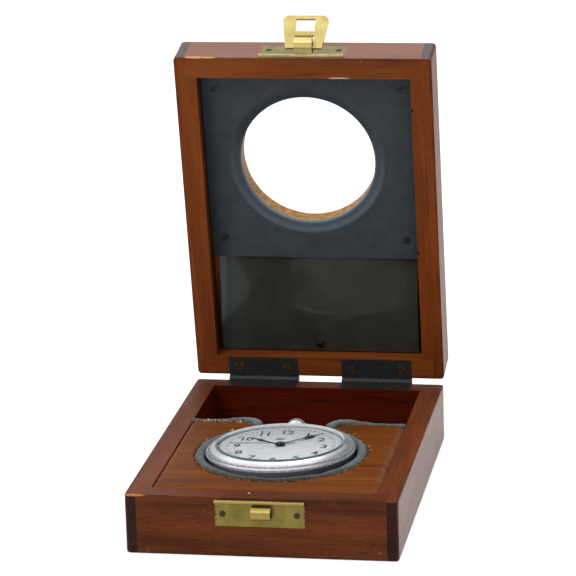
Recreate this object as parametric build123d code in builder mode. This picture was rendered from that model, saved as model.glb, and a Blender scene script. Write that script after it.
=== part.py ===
"""A deck watch box: a hinged wooden case with a sight hole in its lid, holding a pocket watch in a felt well.

Millimetres. The origin is the centre of the underside, +Y points to the hinges and +Z up.
Each half of the case is drawn in its own frame. Both frames stand on the hinge axis and are one and
the same when the lid is shut: x runs along the axis, y to the rear and z up. The lid's frame leans
back with the lid, so every piece of the lid is drawn as if the case were closed.
"""
import os
from math import sqrt

from build123d import *

os.makedirs("parts", exist_ok=True)

# The case
box_width = 90.0
box_depth = 124.0
base_height = 20.4
lid_height = 15.2
lid_opening = 79.5
rim_gap = 0.2
wall_thickness = 7.6
end_grain_width = 3.8
corner_radius = 1.4
foot_radius = 0.9
rim_radius = 0.4
bottom_thickness = 4.0
panel_thickness = 6.9
panel_tongue_height = 4.0
panel_tongue_width = 3.0

# The block that holds the watch, its felt and its pad
block_length = 66.9
block_rise_height = 0.6
block_chamfer = 2.0
block_chamfer_drop = 1.2
block_floor_thickness = 4.5
well_x = -0.5
well_to_rear = 31.1
well_radius = 29.0
neck_width = 28.4
horn_radius = 5.0
felt_thickness = 3.2
felt_proud_height = 0.8
pad_thickness = 1.5
pad_play = 0.2

# The hinges
hinge_length = 25.5
hinge_spread = 41.2
axis_depth = 1.4
barrel_radius = 1.35
pin_radius = 0.6
pin_play = 0.03
leaf_thickness = 1.0
leaf_margin = 0.3
knuckle_gap = 0.1
knuckle_count = 4
leaf_screw_spread = 17.6
leaf_screw_radius = 1.45

# Wood screws
screw_head_drop = 0.9
screw_shank_radius = 0.65
screw_length = 4.0
screw_play = 0.02
slot_width = 0.35
slot_depth = 0.4
slot_overrun = 3.0
slot_turn = 35.0

# The lid's lining: sight plate, rating card and the card's window
sight_plate_length = 72.1
sight_plate_thickness = 1.0
sight_x = -1.3
sight_to_front = 42.1
sight_radius = 23.9
sight_rim_radius = 27.2
sight_dish_depth = 1.2
lid_hole_radius = 23.9
plate_screw_to_side = 4.7
plate_screw_to_front = 6.7
plate_screw_to_rear = 7.1
plate_screw_radius = 1.65
card_thickness = 0.4
window_thickness = 0.5
window_lap = 3.0
window_side_margin = 1.6
window_rear_margin = 0.6
window_screw_to_rear = 3.2
window_screw_radius = 1.5
window_screw_rise = 0.8
window_screw_bulge_height = 0.35

# The latch
latch_x = -0.2
latch_plate_width = 29.6
latch_plate_thickness = 0.9
latch_plate_inset = 0.7
catch_plate_height = 9.1
hasp_plate_height = 10.4
bead_radius = 0.7
bead_depth = 1.1
latch_screw_spread = 24.5
latch_screw_radius = 1.1
catch_screw_drop = 4.9
hasp_screw_rise = 6.5
nose_width = 6.4
nose_radius = 2.2
nose_reach_length = 1.2
nose_strip_thickness = 0.9
nose_drop_height = 4.8
nose_gap = 0.6
hasp_x = 0.5
hasp_pivot_depth = 2.7
hasp_pivot_height = 3.4
hasp_lean = 51.0
hasp_thickness = 1.0
hasp_foot_width = 12.8
hasp_head_width = 16.5
hasp_corner_radius = 2.0
hasp_bar_height = 1.3
hasp_bridge_height = 1.7
hasp_window_height = 4.8
hasp_head_bar_height = 1.4
hasp_side_play = 0.25
eye_inner_radius = 1.3
eye_strip_thickness = 0.8
eye_width = 6.2

# The watch, measured up from the level of the base's rim
watch_lean_back = -2.2
watch_lean_left = -1.2
case_radius = 25.0
case_foot_radius = 24.2
case_top_height = 2.2
case_shoulder_height = 1.4
case_foot_height = -3.0
case_bore_radius = 20.6
case_back_depth = 7.2
back_edge_radius = 21.5
back_edge_rise = 2.8
back_bulge_height = 0.9
back_wall_thickness = 0.8
bezel_radius = 24.4
bezel_edge_height = 3.2
bezel_top_height = 4.0
bezel_land_width = 0.4
bezel_bulge_height = 0.3
crystal_radius = 21.6
crystal_edge_height = 0.6
crystal_thickness = 0.8
crystal_rise_height = 1.5
dial_radius = 20.9
dial_thickness = 0.4
dial_top_height = 2.75
movement_radius = 20.3
movement_depth = 6.2
bridge_radius = 15.0
bridge_depth = 1.6
arbor_radius = 0.45
arbor_end_height = 4.0
hand_play = 0.04
hand_thickness = 0.12
hour_height = 2.95
minute_height = 3.25
seconds_height = 3.52
hub_radius = 1.6
hand_stem_half_width = 0.28
swell_start_share = 0.5
swell_middle_share = 0.68
swell_end_share = 0.8
swell_half_width_share = 0.065
hour_length = 13.8
minute_length = 18.2
seconds_length = 17.5
seconds_tail_length = 5.0
seconds_half_width = 0.09
hour_heading = 305.0
minute_heading = 45.0
seconds_heading = 269.0

# The watch's winding stem, crown and bow
stem_height = -0.3
stem_radius = 0.9
stem_play = 0.04
pendant_radius = 2.9
pendant_end_distance = 29.5
crown_radius = 3.5
crown_start_distance = 29.85
crown_length = 3.7
crown_edge_radius = 0.9
crown_bore_depth = 2.4
bow_axis_distance = 27.5
bow_wire_radius = 0.95
bow_half_width = 7.9
bow_corner_radius = 4.6
bow_droop = 15.0
bow_ear_gap = 0.25
bow_pin_radius = 0.6
bow_pin_length = 1.1
bow_play = 0.04

# Places worked out from the sizes above, in the frame of either half
touch = 0.01
half_width = box_width / 2
half_depth = box_depth / 2
inner_half_width = half_width - wall_thickness
inner_half_depth = half_depth - wall_thickness
board_half_width = half_width - end_grain_width
hinge_y = half_depth + axis_depth
rim = rim_gap / 2
hinge_z = base_height + rim
front_face = -axis_depth - box_depth
rear_face = -axis_depth
front_inside = front_face + wall_thickness
rear_inside = rear_face - wall_thickness
middle_y = (front_face + rear_face) / 2
base_foot = -rim - base_height
lid_top = rim + lid_height
panel_inside = lid_top - panel_thickness
tongued_width = 2 * (inner_half_width + panel_tongue_width)
tongued_depth = 2 * (inner_half_depth + panel_tongue_width)

base_frame = Plane(origin=(0, hinge_y, hinge_z))
lid_frame = Plane(Location((0, hinge_y, hinge_z), (-lid_opening, 0, 0)))


def across(frame):
    """The plane square to the hinge axis, whose x runs to the rear and whose y goes up the frame."""
    return Plane(origin=frame.origin, x_dir=frame.y_dir, z_dir=frame.x_dir)


def through(place):
    """The plane through a place's own axis: its x runs out from the axis and its y along it."""
    return Plane(origin=place.origin, x_dir=place.x_dir, z_dir=-place.y_dir)


def facing_up(frame, x, y, z, turn=1):
    """A place in a frame that faces up the frame, or down it where turn is -1."""
    return Plane(origin=frame.from_local_coords((x, y, z)), x_dir=frame.x_dir, z_dir=frame.z_dir * turn)


def facing_front(frame, x, z):
    """A place on the front of one half of the case that faces out of it."""
    return Plane(origin=frame.from_local_coords((x, front_face, z)), x_dir=frame.x_dir, z_dir=-frame.y_dir)


def finish(part, name):
    part.label = name
    export_step(part, f"parts/{name}.step")


def screw_outline(place, head_radius, play=0.0):
    """Half the section of a countersunk screw whose head lies in the place's plane."""
    with BuildSketch(through(place)) as outline:
        with BuildLine():
            Polyline(
                (0, 0),
                (head_radius + play, 0),
                (screw_shank_radius + play, -screw_head_drop),
                (screw_shank_radius + play, -screw_length),
                (0, -screw_length),
                close=True,
            )
        make_face()
    return outline.sketch


def screws(places, head_radius):
    """Slotted countersunk screws, one in each place, as separate solids."""
    with BuildPart() as group:
        for place in places:
            revolve(screw_outline(place, head_radius), axis=Axis(place.origin, place.z_dir))
            with BuildSketch(place):
                Rectangle(slot_overrun * head_radius, slot_width, rotation=slot_turn)
            extrude(amount=-slot_depth, mode=Mode.SUBTRACT)
    return group.part


def cut_screw_seats(places, head_radius):
    """Cuts the seats of countersunk screws out of the part being made."""
    for place in places:
        seat = screw_outline(place, head_radius, screw_play)
        revolve(seat, axis=Axis(place.origin, place.z_dir), mode=Mode.SUBTRACT)


# Screw places
hinge_xs = {"left": -hinge_spread / 2, "right": hinge_spread / 2}
leaf_depth = wall_thickness - leaf_margin
leaf_screw_y = rear_face - leaf_depth / 2


def leaf_screw_places(frame, turn):
    """Both hinges' screw places in one half of the case, on the leaves' open faces."""
    found = {}
    for side, hinge_x in hinge_xs.items():
        xs = (hinge_x - leaf_screw_spread / 2, hinge_x + leaf_screw_spread / 2)
        found[side] = [facing_up(frame, x, leaf_screw_y, -turn * rim, turn) for x in xs]
    return found


base_leaf_screws = leaf_screw_places(base_frame, 1)
lid_leaf_screws = leaf_screw_places(lid_frame, -1)

catch_plate_top = -rim - latch_plate_inset
hasp_plate_foot = rim + latch_plate_inset
latch_screw_xs = (latch_x - latch_screw_spread / 2, latch_x + latch_screw_spread / 2)
catch_screw_z = catch_plate_top - catch_screw_drop
hasp_screw_z = hasp_plate_foot + hasp_screw_rise
catch_screw_places = [facing_front(base_frame, x, catch_screw_z) for x in latch_screw_xs]
hasp_screw_places = [facing_front(lid_frame, x, hasp_screw_z) for x in latch_screw_xs]

plate_screw_x = inner_half_width - plate_screw_to_side
plate_screw_xs = (-plate_screw_x, plate_screw_x)
sight_plate_rear = front_inside + sight_plate_length
plate_screw_ys = (front_inside + plate_screw_to_front, sight_plate_rear - plate_screw_to_rear)
sight_plate_face = panel_inside - sight_plate_thickness
plate_screw_places = [
    facing_up(lid_frame, x, y, sight_plate_face, -1) for x in plate_screw_xs for y in plate_screw_ys
]

# The bottom panel, let into a rebate all round
with BuildPart() as base_bottom:
    with BuildSketch(base_frame.offset(base_foot)):
        with Locations((0, middle_y)):
            Rectangle(tongued_width, tongued_depth)
    extrude(amount=bottom_thickness)
finish(base_bottom.part, "base_bottom")

# The lid's top panel, with a tongue in a rebate all round and a hole over the watch's dial
window_y = sight_plate_rear - window_lap
window_length = rear_inside - window_rear_margin - window_y
window_width = 2 * (inner_half_width - window_side_margin)
window_depth = card_thickness + window_thickness
window_face = panel_inside
card_face = window_face + window_thickness
window_screw_place = facing_up(lid_frame, latch_x, rear_inside - window_screw_to_rear, window_face, -1)
sight_place = facing_up(lid_frame, sight_x, front_face + sight_to_front, panel_inside)
sight_seat_depth = sight_dish_depth * (sight_rim_radius - lid_hole_radius) / (sight_rim_radius - sight_radius)

with BuildPart() as lid_panel:
    with BuildSketch(lid_frame.offset(panel_inside)):
        with Locations((0, middle_y)):
            Rectangle(2 * inner_half_width, 2 * inner_half_depth)
    extrude(amount=panel_thickness)
    with BuildSketch(lid_frame.offset(lid_top - panel_tongue_height)):
        with Locations((0, middle_y)):
            Rectangle(tongued_width, tongued_depth)
    extrude(amount=panel_tongue_height)
    with BuildSketch(through(sight_place)):
        with BuildLine():
            Polyline(
                (0, 0),
                (sight_rim_radius, 0),
                (lid_hole_radius, sight_seat_depth),
                (lid_hole_radius, panel_thickness),
                (0, panel_thickness),
                close=True,
            )
        make_face()
    revolve(axis=Axis(sight_place.origin, sight_place.z_dir), mode=Mode.SUBTRACT)
    with BuildSketch(lid_frame.offset(window_face)):
        with Locations((0, window_y + window_length / 2)):
            Rectangle(window_width, window_length)
    extrude(amount=window_depth, mode=Mode.SUBTRACT)
    with BuildSketch(window_screw_place):
        Circle(screw_shank_radius)
    extrude(amount=-screw_length, mode=Mode.SUBTRACT)
    cut_screw_seats(plate_screw_places, plate_screw_radius)
finish(lid_panel.part, "lid_panel")


# The boards. Each side board keeps a thin tongue at either end that laps the front and rear boards,
# so their outer faces show a strip of its end grain.
def outside_edges(frame, board, height):
    """A board's edges that lie on the outside of the case at one height of its frame."""
    found = []
    for edge in board.edges():
        middle = frame.to_local_coords(edge.center())
        beside = abs(middle.X) > board_half_width + touch
        ahead_or_behind = abs(middle.Y - middle_y) > half_depth - foot_radius
        if abs(middle.Z - height) < touch and (beside or ahead_or_behind):
            found.append(edge)
    return found


def corner_edges(frame, board):
    """A side board's two upright edges at the corners of the case."""
    upright = board.edges().filter_by(Axis((0, 0, 0), frame.z_dir))
    return [edge for edge in upright if abs(edge.center().X) > half_width - touch]


def side_board(frame, side, rim_height, outer_height, panel):
    with BuildPart() as board:
        with BuildSketch(frame.offset(min(rim_height, outer_height))):
            with BuildLine():
                Polyline(
                    (side * half_width, rear_face),
                    (side * half_width, front_face),
                    (side * board_half_width, front_face),
                    (side * board_half_width, front_inside),
                    (side * inner_half_width, front_inside),
                    (side * inner_half_width, rear_inside),
                    (side * board_half_width, rear_inside),
                    (side * board_half_width, rear_face),
                    close=True,
                )
            make_face()
        extrude(amount=abs(outer_height - rim_height))
        fillet(corner_edges(frame, board), corner_radius)
        fillet(outside_edges(frame, board, outer_height), foot_radius)
        fillet(outside_edges(frame, board, rim_height), rim_radius)
        add(panel, mode=Mode.SUBTRACT)
    return board.part


def end_board(frame, y, rim_height, outer_height, panel):
    with BuildPart() as board:
        with BuildSketch(frame.offset(min(rim_height, outer_height))):
            with Locations((0, y)):
                Rectangle(2 * board_half_width, wall_thickness)
        extrude(amount=abs(outer_height - rim_height))
        fillet(outside_edges(frame, board, outer_height), foot_radius)
        fillet(outside_edges(frame, board, rim_height), rim_radius)
        add(panel, mode=Mode.SUBTRACT)
    return board.part


def cut_mortises(frame, height):
    """Cuts the two hinge leaves' recesses, open to the rear, from a height of the frame upwards."""
    for hinge_x in hinge_xs.values():
        with BuildSketch(frame.offset(height)) as mortise:
            with Locations((hinge_x, leaf_screw_y)):
                Rectangle(hinge_length, leaf_depth)
        extrude(mortise.sketch, amount=leaf_thickness, mode=Mode.SUBTRACT)


def cut_plate_recess(frame, top, height):
    """Cuts the recess of a latch plate out of a front board."""
    with BuildSketch(facing_front(frame, latch_x, top - height / 2)) as recess:
        Rectangle(latch_plate_width, height)
    extrude(recess.sketch, amount=-latch_plate_thickness, mode=Mode.SUBTRACT)


for side_name, side in {"left": -1, "right": 1}.items():
    finish(side_board(base_frame, side, -rim, base_foot, base_bottom.part), f"base_{side_name}_side")
    finish(side_board(lid_frame, side, rim, lid_top, lid_panel.part), f"lid_{side_name}_side")

front_board_y = (front_face + front_inside) / 2
rear_board_y = (rear_face + rear_inside) / 2
base_front_blank = end_board(base_frame, front_board_y, -rim, base_foot, base_bottom.part)
base_rear_blank = end_board(base_frame, rear_board_y, -rim, base_foot, base_bottom.part)
lid_front_blank = end_board(lid_frame, front_board_y, rim, lid_top, lid_panel.part)
lid_rear_blank = end_board(lid_frame, rear_board_y, rim, lid_top, lid_panel.part)
hasp_plate_top = hasp_plate_foot + hasp_plate_height

with BuildPart() as base_front_board:
    add(base_front_blank)
    cut_plate_recess(base_frame, catch_plate_top, catch_plate_height)
    cut_screw_seats(catch_screw_places, latch_screw_radius)
finish(base_front_board.part, "base_front_board")

with BuildPart() as base_rear_board:
    add(base_rear_blank)
    cut_mortises(base_frame, -rim - leaf_thickness)
    for places in base_leaf_screws.values():
        cut_screw_seats(places, leaf_screw_radius)
finish(base_rear_board.part, "base_rear_board")

with BuildPart() as lid_front_board:
    add(lid_front_blank)
    cut_plate_recess(lid_frame, hasp_plate_top, hasp_plate_height)
    cut_screw_seats(hasp_screw_places, latch_screw_radius)
finish(lid_front_board.part, "lid_front_board")

with BuildPart() as lid_rear_board:
    add(lid_rear_blank)
    cut_mortises(lid_frame, rim)
    for places in lid_leaf_screws.values():
        cut_screw_seats(places, leaf_screw_radius)
finish(lid_rear_board.part, "lid_rear_board")

# The sight plate, dished round its hole so that the hole lies nearer the panel
with BuildPart() as sight_plate:
    with BuildSketch(lid_frame.offset(sight_plate_face)):
        with Locations((0, front_inside + sight_plate_length / 2)):
            Rectangle(2 * inner_half_width, sight_plate_length)
    extrude(amount=sight_plate_thickness)
    with BuildSketch(sight_place):
        Circle(sight_rim_radius)
    extrude(amount=-sight_plate_thickness, mode=Mode.SUBTRACT)
    with BuildSketch(through(sight_place)):
        with BuildLine():
            Polyline(
                (sight_rim_radius, -sight_plate_thickness),
                (sight_radius, sight_dish_depth - sight_plate_thickness),
                (sight_radius, sight_dish_depth),
                (sight_rim_radius, 0),
                close=True,
            )
        make_face()
    revolve(axis=Axis(sight_place.origin, sight_place.z_dir))
    cut_screw_seats(plate_screw_places, plate_screw_radius)
finish(sight_plate.part, "sight_plate")
finish(screws(plate_screw_places, plate_screw_radius), "sight_plate_screws")


def lid_sheet(face, thickness):
    """A sheet in the lid's shallow pocket, with a hole for the screw that keeps it there."""
    with BuildPart() as sheet:
        with BuildSketch(lid_frame.offset(face)):
            with Locations((0, window_y + window_length / 2)):
                Rectangle(window_width, window_length)
        extrude(amount=thickness)
        with BuildSketch(window_screw_place):
            Circle(screw_shank_radius)
        extrude(amount=-screw_length, mode=Mode.SUBTRACT)
    return sheet.part


finish(lid_sheet(card_face, card_thickness), "rating_card")
finish(lid_sheet(window_face, window_thickness), "card_window")

with BuildPart() as card_window_screw:
    with BuildSketch(through(window_screw_place)):
        with BuildLine():
            Polyline(
                (window_screw_radius, 0),
                (screw_shank_radius, 0),
                (screw_shank_radius, -screw_length),
                (0, -screw_length),
                (0, window_screw_rise),
            )
            SagittaArc((0, window_screw_rise), (window_screw_radius, 0), window_screw_bulge_height)
        make_face()
    revolve(axis=Axis(window_screw_place.origin, window_screw_place.z_dir))
    with BuildSketch(window_screw_place.offset(window_screw_rise)):
        Rectangle(slot_overrun * window_screw_radius, slot_width, rotation=slot_turn)
    extrude(amount=-slot_depth, mode=Mode.SUBTRACT)
finish(card_window_screw.part, "card_window_screw")

# The watch block: a keyhole well, open at the rear to the compartment behind it
base_floor = bottom_thickness
block_front = -inner_half_depth
block_rear = block_front + block_length
block_middle = (block_front + block_rear) / 2
block_top = base_height + block_rise_height
well_y = block_rear - well_to_rear
well_bottom = base_floor + block_floor_thickness

with BuildSketch() as keyhole:
    with Locations((0, block_middle)):
        Rectangle(2 * inner_half_width, block_length)
    with Locations((well_x, well_y)):
        Circle(well_radius, mode=Mode.SUBTRACT)
    with Locations((well_x, (well_y + block_rear) / 2)):
        Rectangle(neck_width, block_rear - well_y, mode=Mode.SUBTRACT)
    rear_corners = keyhole.vertices().group_by(Axis.Y)[-1]
    fillet(rear_corners.sort_by(lambda corner: abs(corner.X - well_x))[:2], horn_radius)

with BuildPart() as watch_block:
    with BuildSketch(Plane.XY.offset(base_floor)):
        with Locations((0, block_middle)):
            Rectangle(2 * inner_half_width, block_length)
    extrude(amount=block_floor_thickness)
    with BuildSketch(Plane.XY.offset(well_bottom)):
        add(keyhole.sketch)
    extrude(amount=block_top - well_bottom)
    top_face = watch_block.faces().sort_by(Axis.Z)[-1]
    straight = top_face.edges().filter_by(GeomType.LINE)
    sides = straight.filter_by(Axis.Y).sort_by(Axis.X)
    eased = [sides[0], sides[-1], straight.filter_by(Axis.X).sort_by(Axis.Y)[0]]
    chamfer(eased, length=block_chamfer, length2=block_chamfer_drop, reference=top_face)
finish(watch_block.part, "watch_block")

# The felt: one strip round the well, through the neck and out over the block's rear face
with BuildSketch() as felt_outline:
    add(keyhole.sketch)
    offset(amount=felt_thickness, kind=Kind.ARC)
    with Locations((0, block_middle + felt_thickness)):
        Rectangle(2 * inner_half_width, block_length, mode=Mode.INTERSECT)
    add(keyhole.sketch, mode=Mode.SUBTRACT)

with BuildPart() as block_felt:
    with BuildSketch(Plane.XY.offset(base_floor)):
        add(felt_outline.sketch)
    extrude(amount=block_top + felt_proud_height - base_floor)
    with BuildSketch(Plane.XY.offset(base_floor)):
        with Locations((0, block_middle)):
            Rectangle(2 * inner_half_width, block_length)
    extrude(amount=block_floor_thickness, mode=Mode.SUBTRACT)
finish(block_felt.part, "block_felt")

with BuildPart() as well_pad:
    with BuildSketch(Plane.XY.offset(well_bottom)):
        with Locations((well_x, well_y)):
            Circle(well_radius - felt_thickness - pad_play)
    extrude(amount=pad_thickness)
finish(well_pad.part, "well_pad")


# The hinges
def leaf_section(frame, start, up):
    """A leaf's own section, from its front edge to the hinge axis."""
    with BuildSketch(across(frame).offset(start)) as section:
        with Locations(((rear_face - leaf_depth) / 2, up * (rim + leaf_thickness / 2))):
            Rectangle(leaf_depth - rear_face, leaf_thickness)
    return section.sketch


def hinge_leaf(frame, hinge_x, up, first_knuckle, bore, places):
    """A leaf with every second knuckle. It clears the knuckles of the other leaf."""
    start = hinge_x - hinge_length / 2
    pitch = hinge_length / knuckle_count
    with BuildPart() as leaf:
        extrude(leaf_section(frame, start, up), amount=hinge_length)
        with BuildSketch(across(frame).offset(start)):
            Circle(barrel_radius + knuckle_gap)
        extrude(amount=hinge_length, mode=Mode.SUBTRACT)
        for knuckle in range(first_knuckle, knuckle_count, 2):
            knuckle_start = start + knuckle * pitch + knuckle_gap / 2
            extrude(leaf_section(frame, knuckle_start, up), amount=pitch - knuckle_gap)
            with BuildSketch(across(frame).offset(knuckle_start)):
                Circle(barrel_radius)
            extrude(amount=pitch - knuckle_gap)
        with BuildSketch(across(frame).offset(start)):
            Circle(bore)
        extrude(amount=hinge_length, mode=Mode.SUBTRACT)
        cut_screw_seats(places, leaf_screw_radius)
    return leaf.part


for side_name, hinge_x in hinge_xs.items():
    base_leaf = hinge_leaf(base_frame, hinge_x, -1, 0, pin_radius, base_leaf_screws[side_name])
    finish(base_leaf, f"{side_name}_hinge_base_leaf")
    lid_leaf = hinge_leaf(lid_frame, hinge_x, 1, 1, pin_radius + pin_play, lid_leaf_screws[side_name])
    finish(lid_leaf, f"{side_name}_hinge_lid_leaf")

with BuildPart() as hinge_pins:
    for hinge_x in hinge_xs.values():
        with BuildSketch(across(base_frame).offset(hinge_x - hinge_length / 2)):
            Circle(pin_radius)
        extrude(amount=hinge_length)
finish(hinge_pins.part, "hinge_pins")

finish(screws(sum(base_leaf_screws.values(), []), leaf_screw_radius), "base_leaf_screws")
finish(screws(sum(lid_leaf_screws.values(), []), leaf_screw_radius), "lid_leaf_screws")


# The latch: a plate with a nose on the base, and a plate with an eye for the hasp on the lid
def latch_plate(frame, top, height, bead_height, places):
    """A plate let in flush, with a bead along the edge that lies beside the rim."""
    bead_step = bead_depth - bead_radius
    with BuildPart() as plate:
        with BuildSketch(facing_front(frame, latch_x, top - height / 2)):
            Rectangle(latch_plate_width, height)
        extrude(amount=-latch_plate_thickness)
        with BuildSketch(across(frame).offset(latch_x - latch_plate_width / 2)):
            with Locations((front_face - bead_step, bead_height)):
                Circle(bead_radius)
            with Locations((front_face - bead_step / 2, bead_height)):
                Rectangle(bead_step, 2 * bead_radius)
        extrude(amount=latch_plate_width)
        cut_screw_seats(places, latch_screw_radius)
    return plate.part


catch_bead = catch_plate_top - bead_radius
hasp_plate_bead = hasp_plate_foot + bead_radius
catch_blank = latch_plate(base_frame, catch_plate_top, catch_plate_height, catch_bead, catch_screw_places)
hasp_blank = latch_plate(lid_frame, hasp_plate_top, hasp_plate_height, hasp_plate_bead, hasp_screw_places)
nose_height = -rim - nose_drop_height

with BuildPart() as catch_plate:
    add(catch_blank)
    with BuildSketch(across(base_frame).offset(hasp_x - nose_width / 2)):
        with Locations((front_face - nose_reach_length, nose_height)):
            Circle(nose_radius)
            Circle(nose_radius - nose_strip_thickness, mode=Mode.SUBTRACT)
            Rectangle(nose_radius, 2 * nose_radius, align=(Align.MIN, Align.CENTER), mode=Mode.SUBTRACT)
        with Locations((front_face - nose_reach_length, nose_height + nose_radius)):
            Rectangle(nose_reach_length, nose_strip_thickness, align=(Align.MIN, Align.MAX))
        with Locations((front_face - nose_reach_length, nose_height - nose_radius)):
            Rectangle(nose_reach_length - nose_gap, nose_strip_thickness, align=(Align.MIN, Align.MIN))
    extrude(amount=nose_width)
finish(catch_plate.part, "catch_plate")
finish(screws(catch_screw_places, latch_screw_radius), "catch_plate_screws")

hasp_pivot_y = front_face - hasp_pivot_depth
hasp_pivot_z = rim + hasp_pivot_height
eye_radius = eye_inner_radius + eye_strip_thickness

with BuildPart() as hasp_plate:
    add(hasp_blank)
    with BuildSketch(across(lid_frame).offset(hasp_x - eye_width / 2)):
        with Locations((hasp_pivot_y, hasp_pivot_z)):
            Circle(eye_radius)
            Circle(eye_inner_radius, mode=Mode.SUBTRACT)
            Rectangle(eye_radius, eye_radius, align=(Align.MIN, Align.MAX), mode=Mode.SUBTRACT)
        with Locations((hasp_pivot_y, hasp_pivot_z - eye_radius)):
            Rectangle(hasp_pivot_depth, eye_strip_thickness, align=(Align.MIN, Align.MIN))
    extrude(amount=eye_width)
finish(hasp_plate.part, "hasp_plate")
finish(screws(hasp_screw_places, latch_screw_radius), "hasp_plate_screws")

# The hasp is drawn flat from its pivot bar upwards. It hangs down over the nose when the box is shut.
hasp_window_middle = hasp_pivot_height + rim_gap + nose_drop_height
hasp_bridge_start = hasp_window_middle - hasp_window_height / 2 - hasp_bridge_height
hasp_end_height = hasp_window_middle + hasp_window_height / 2 + hasp_head_bar_height
slot_width_of_hasp = eye_width + 2 * hasp_side_play
hasp_pivot = lid_frame.from_local_coords((hasp_x, hasp_pivot_y, hasp_pivot_z))
hasp_turn = 180 - lid_opening - hasp_lean
hasp_plane = Plane(Location(hasp_pivot, (hasp_turn, 0, 0))).offset(-hasp_thickness / 2)

with BuildPart() as hasp:
    with BuildSketch(hasp_plane):
        with BuildLine():
            Polyline(
                (-hasp_foot_width / 2, -hasp_bar_height / 2),
                (hasp_foot_width / 2, -hasp_bar_height / 2),
                (hasp_head_width / 2, hasp_end_height),
                (-hasp_head_width / 2, hasp_end_height),
                close=True,
            )
        make_face()
        with Locations((0, (hasp_bar_height / 2 + hasp_bridge_start) / 2)):
            Rectangle(slot_width_of_hasp, hasp_bridge_start - hasp_bar_height / 2, mode=Mode.SUBTRACT)
        with Locations((0, hasp_window_middle)):
            Rectangle(slot_width_of_hasp, hasp_window_height, mode=Mode.SUBTRACT)
    extrude(amount=hasp_thickness)
    square_edges = hasp.edges().filter_by(Axis((0, 0, 0), hasp_plane.z_dir))
    head_corners = square_edges.sort_by(lambda edge: hasp_plane.to_local_coords(edge.center()).Y)[-2:]
    fillet(head_corners, hasp_corner_radius)
finish(hasp.part, "hasp")

# The watch, in a frame of its own that leans with it in the well
watch_frame = Plane(Location((well_x, well_y, base_height), (watch_lean_back, watch_lean_left, 0)))
watch_section = through(watch_frame)
watch_axis = Axis(watch_frame.origin, watch_frame.z_dir)


def along_dial(height, heading=0.0):
    """A plane along the dial at a height in the watch, turned clockwise from twelve by a heading."""
    middle = Plane(watch_frame.from_local_coords((0, 0, height)), watch_frame.x_dir, watch_frame.z_dir)
    return Plane(middle.location * Location((0, 0, 0), (0, 0, -heading)))


def toward_crown(distance):
    """A place on the winding stem's axis, at a distance from the dial's centre, that faces the crown."""
    middle = watch_frame.from_local_coords((0, distance, stem_height))
    return Plane(origin=middle, x_dir=watch_frame.x_dir, z_dir=watch_frame.y_dir)


def dome(radius, edge, rise):
    """A round arc from a radius to the watch's axis, where it is level and stands a rise above the edge."""
    ball = (radius**2 + rise**2) / (2 * abs(rise))
    sag = ball - sqrt(ball**2 - radius**2 / 4)
    halfway = edge + rise - sag * rise / abs(rise)
    return ThreePointArc((radius, edge), (radius / 2, halfway), (0, edge + rise))


stem_hole = stem_radius + stem_play
with BuildPart() as case_middle:
    with BuildSketch(watch_section):
        with BuildLine():
            Polyline(
                (case_bore_radius, case_foot_height),
                (case_foot_radius, case_foot_height),
                (case_radius, case_shoulder_height),
                (case_radius, case_top_height),
                (case_bore_radius, case_top_height),
                close=True,
            )
        make_face()
    revolve(axis=watch_axis)
    with BuildSketch(toward_crown(case_bore_radius - touch)):
        Circle(stem_hole)
    extrude(amount=case_radius, mode=Mode.SUBTRACT)
finish(case_middle.part, "case_middle")

back_edge = case_foot_height - case_back_depth + back_edge_rise
hollow_radius = case_foot_radius - back_wall_thickness
hollow_edge_radius = back_edge_radius - back_wall_thickness
hollow_edge = back_edge + back_wall_thickness


def back_outline(mouth_radius, edge_radius, edge_height):
    """Half the section of the case back's outside, or of its hollow."""
    with BuildSketch(watch_section) as outline:
        with BuildLine():
            Line((0, case_foot_height), (mouth_radius, case_foot_height))
            SagittaArc((mouth_radius, case_foot_height), (edge_radius, edge_height), -back_bulge_height)
            dome(edge_radius, edge_height, -back_edge_rise)
            Line((0, edge_height - back_edge_rise), (0, case_foot_height))
        make_face()
    return outline.sketch


with BuildPart() as case_back:
    revolve(back_outline(case_foot_radius, back_edge_radius, back_edge), axis=watch_axis)
    hollow = back_outline(hollow_radius, hollow_edge_radius, hollow_edge)
    revolve(hollow, axis=watch_axis, mode=Mode.SUBTRACT)
finish(case_back.part, "case_back")

bezel_land_radius = crystal_radius + bezel_land_width
with BuildPart() as bezel:
    with BuildSketch(watch_section):
        with BuildLine():
            Polyline(
                (bezel_land_radius, bezel_top_height),
                (crystal_radius, bezel_top_height),
                (crystal_radius, case_top_height),
                (bezel_radius, case_top_height),
                (bezel_radius, bezel_edge_height),
            )
            outer_edge = (bezel_radius, bezel_edge_height)
            SagittaArc(outer_edge, (bezel_land_radius, bezel_top_height), bezel_bulge_height)
        make_face()
    revolve(axis=watch_axis)
finish(bezel.part, "bezel")

crystal_edge = bezel_top_height - crystal_edge_height
crystal_top = bezel_top_height + crystal_rise_height
hollow_top = crystal_top - crystal_thickness
with BuildPart() as crystal:
    with BuildSketch(watch_section):
        with BuildLine():
            Line((crystal_radius, crystal_edge), (crystal_radius, bezel_top_height))
            dome(crystal_radius, bezel_top_height, crystal_rise_height)
            Line((0, crystal_top), (0, hollow_top))
            dome(crystal_radius, crystal_edge, hollow_top - crystal_edge)
        make_face()
    revolve(axis=watch_axis)
finish(crystal.part, "crystal")

with BuildPart() as dial:
    with BuildSketch(along_dial(dial_top_height)):
        Circle(dial_radius)
        Circle(arbor_radius, mode=Mode.SUBTRACT)
    extrude(amount=-dial_thickness)
finish(dial.part, "dial")

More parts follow.
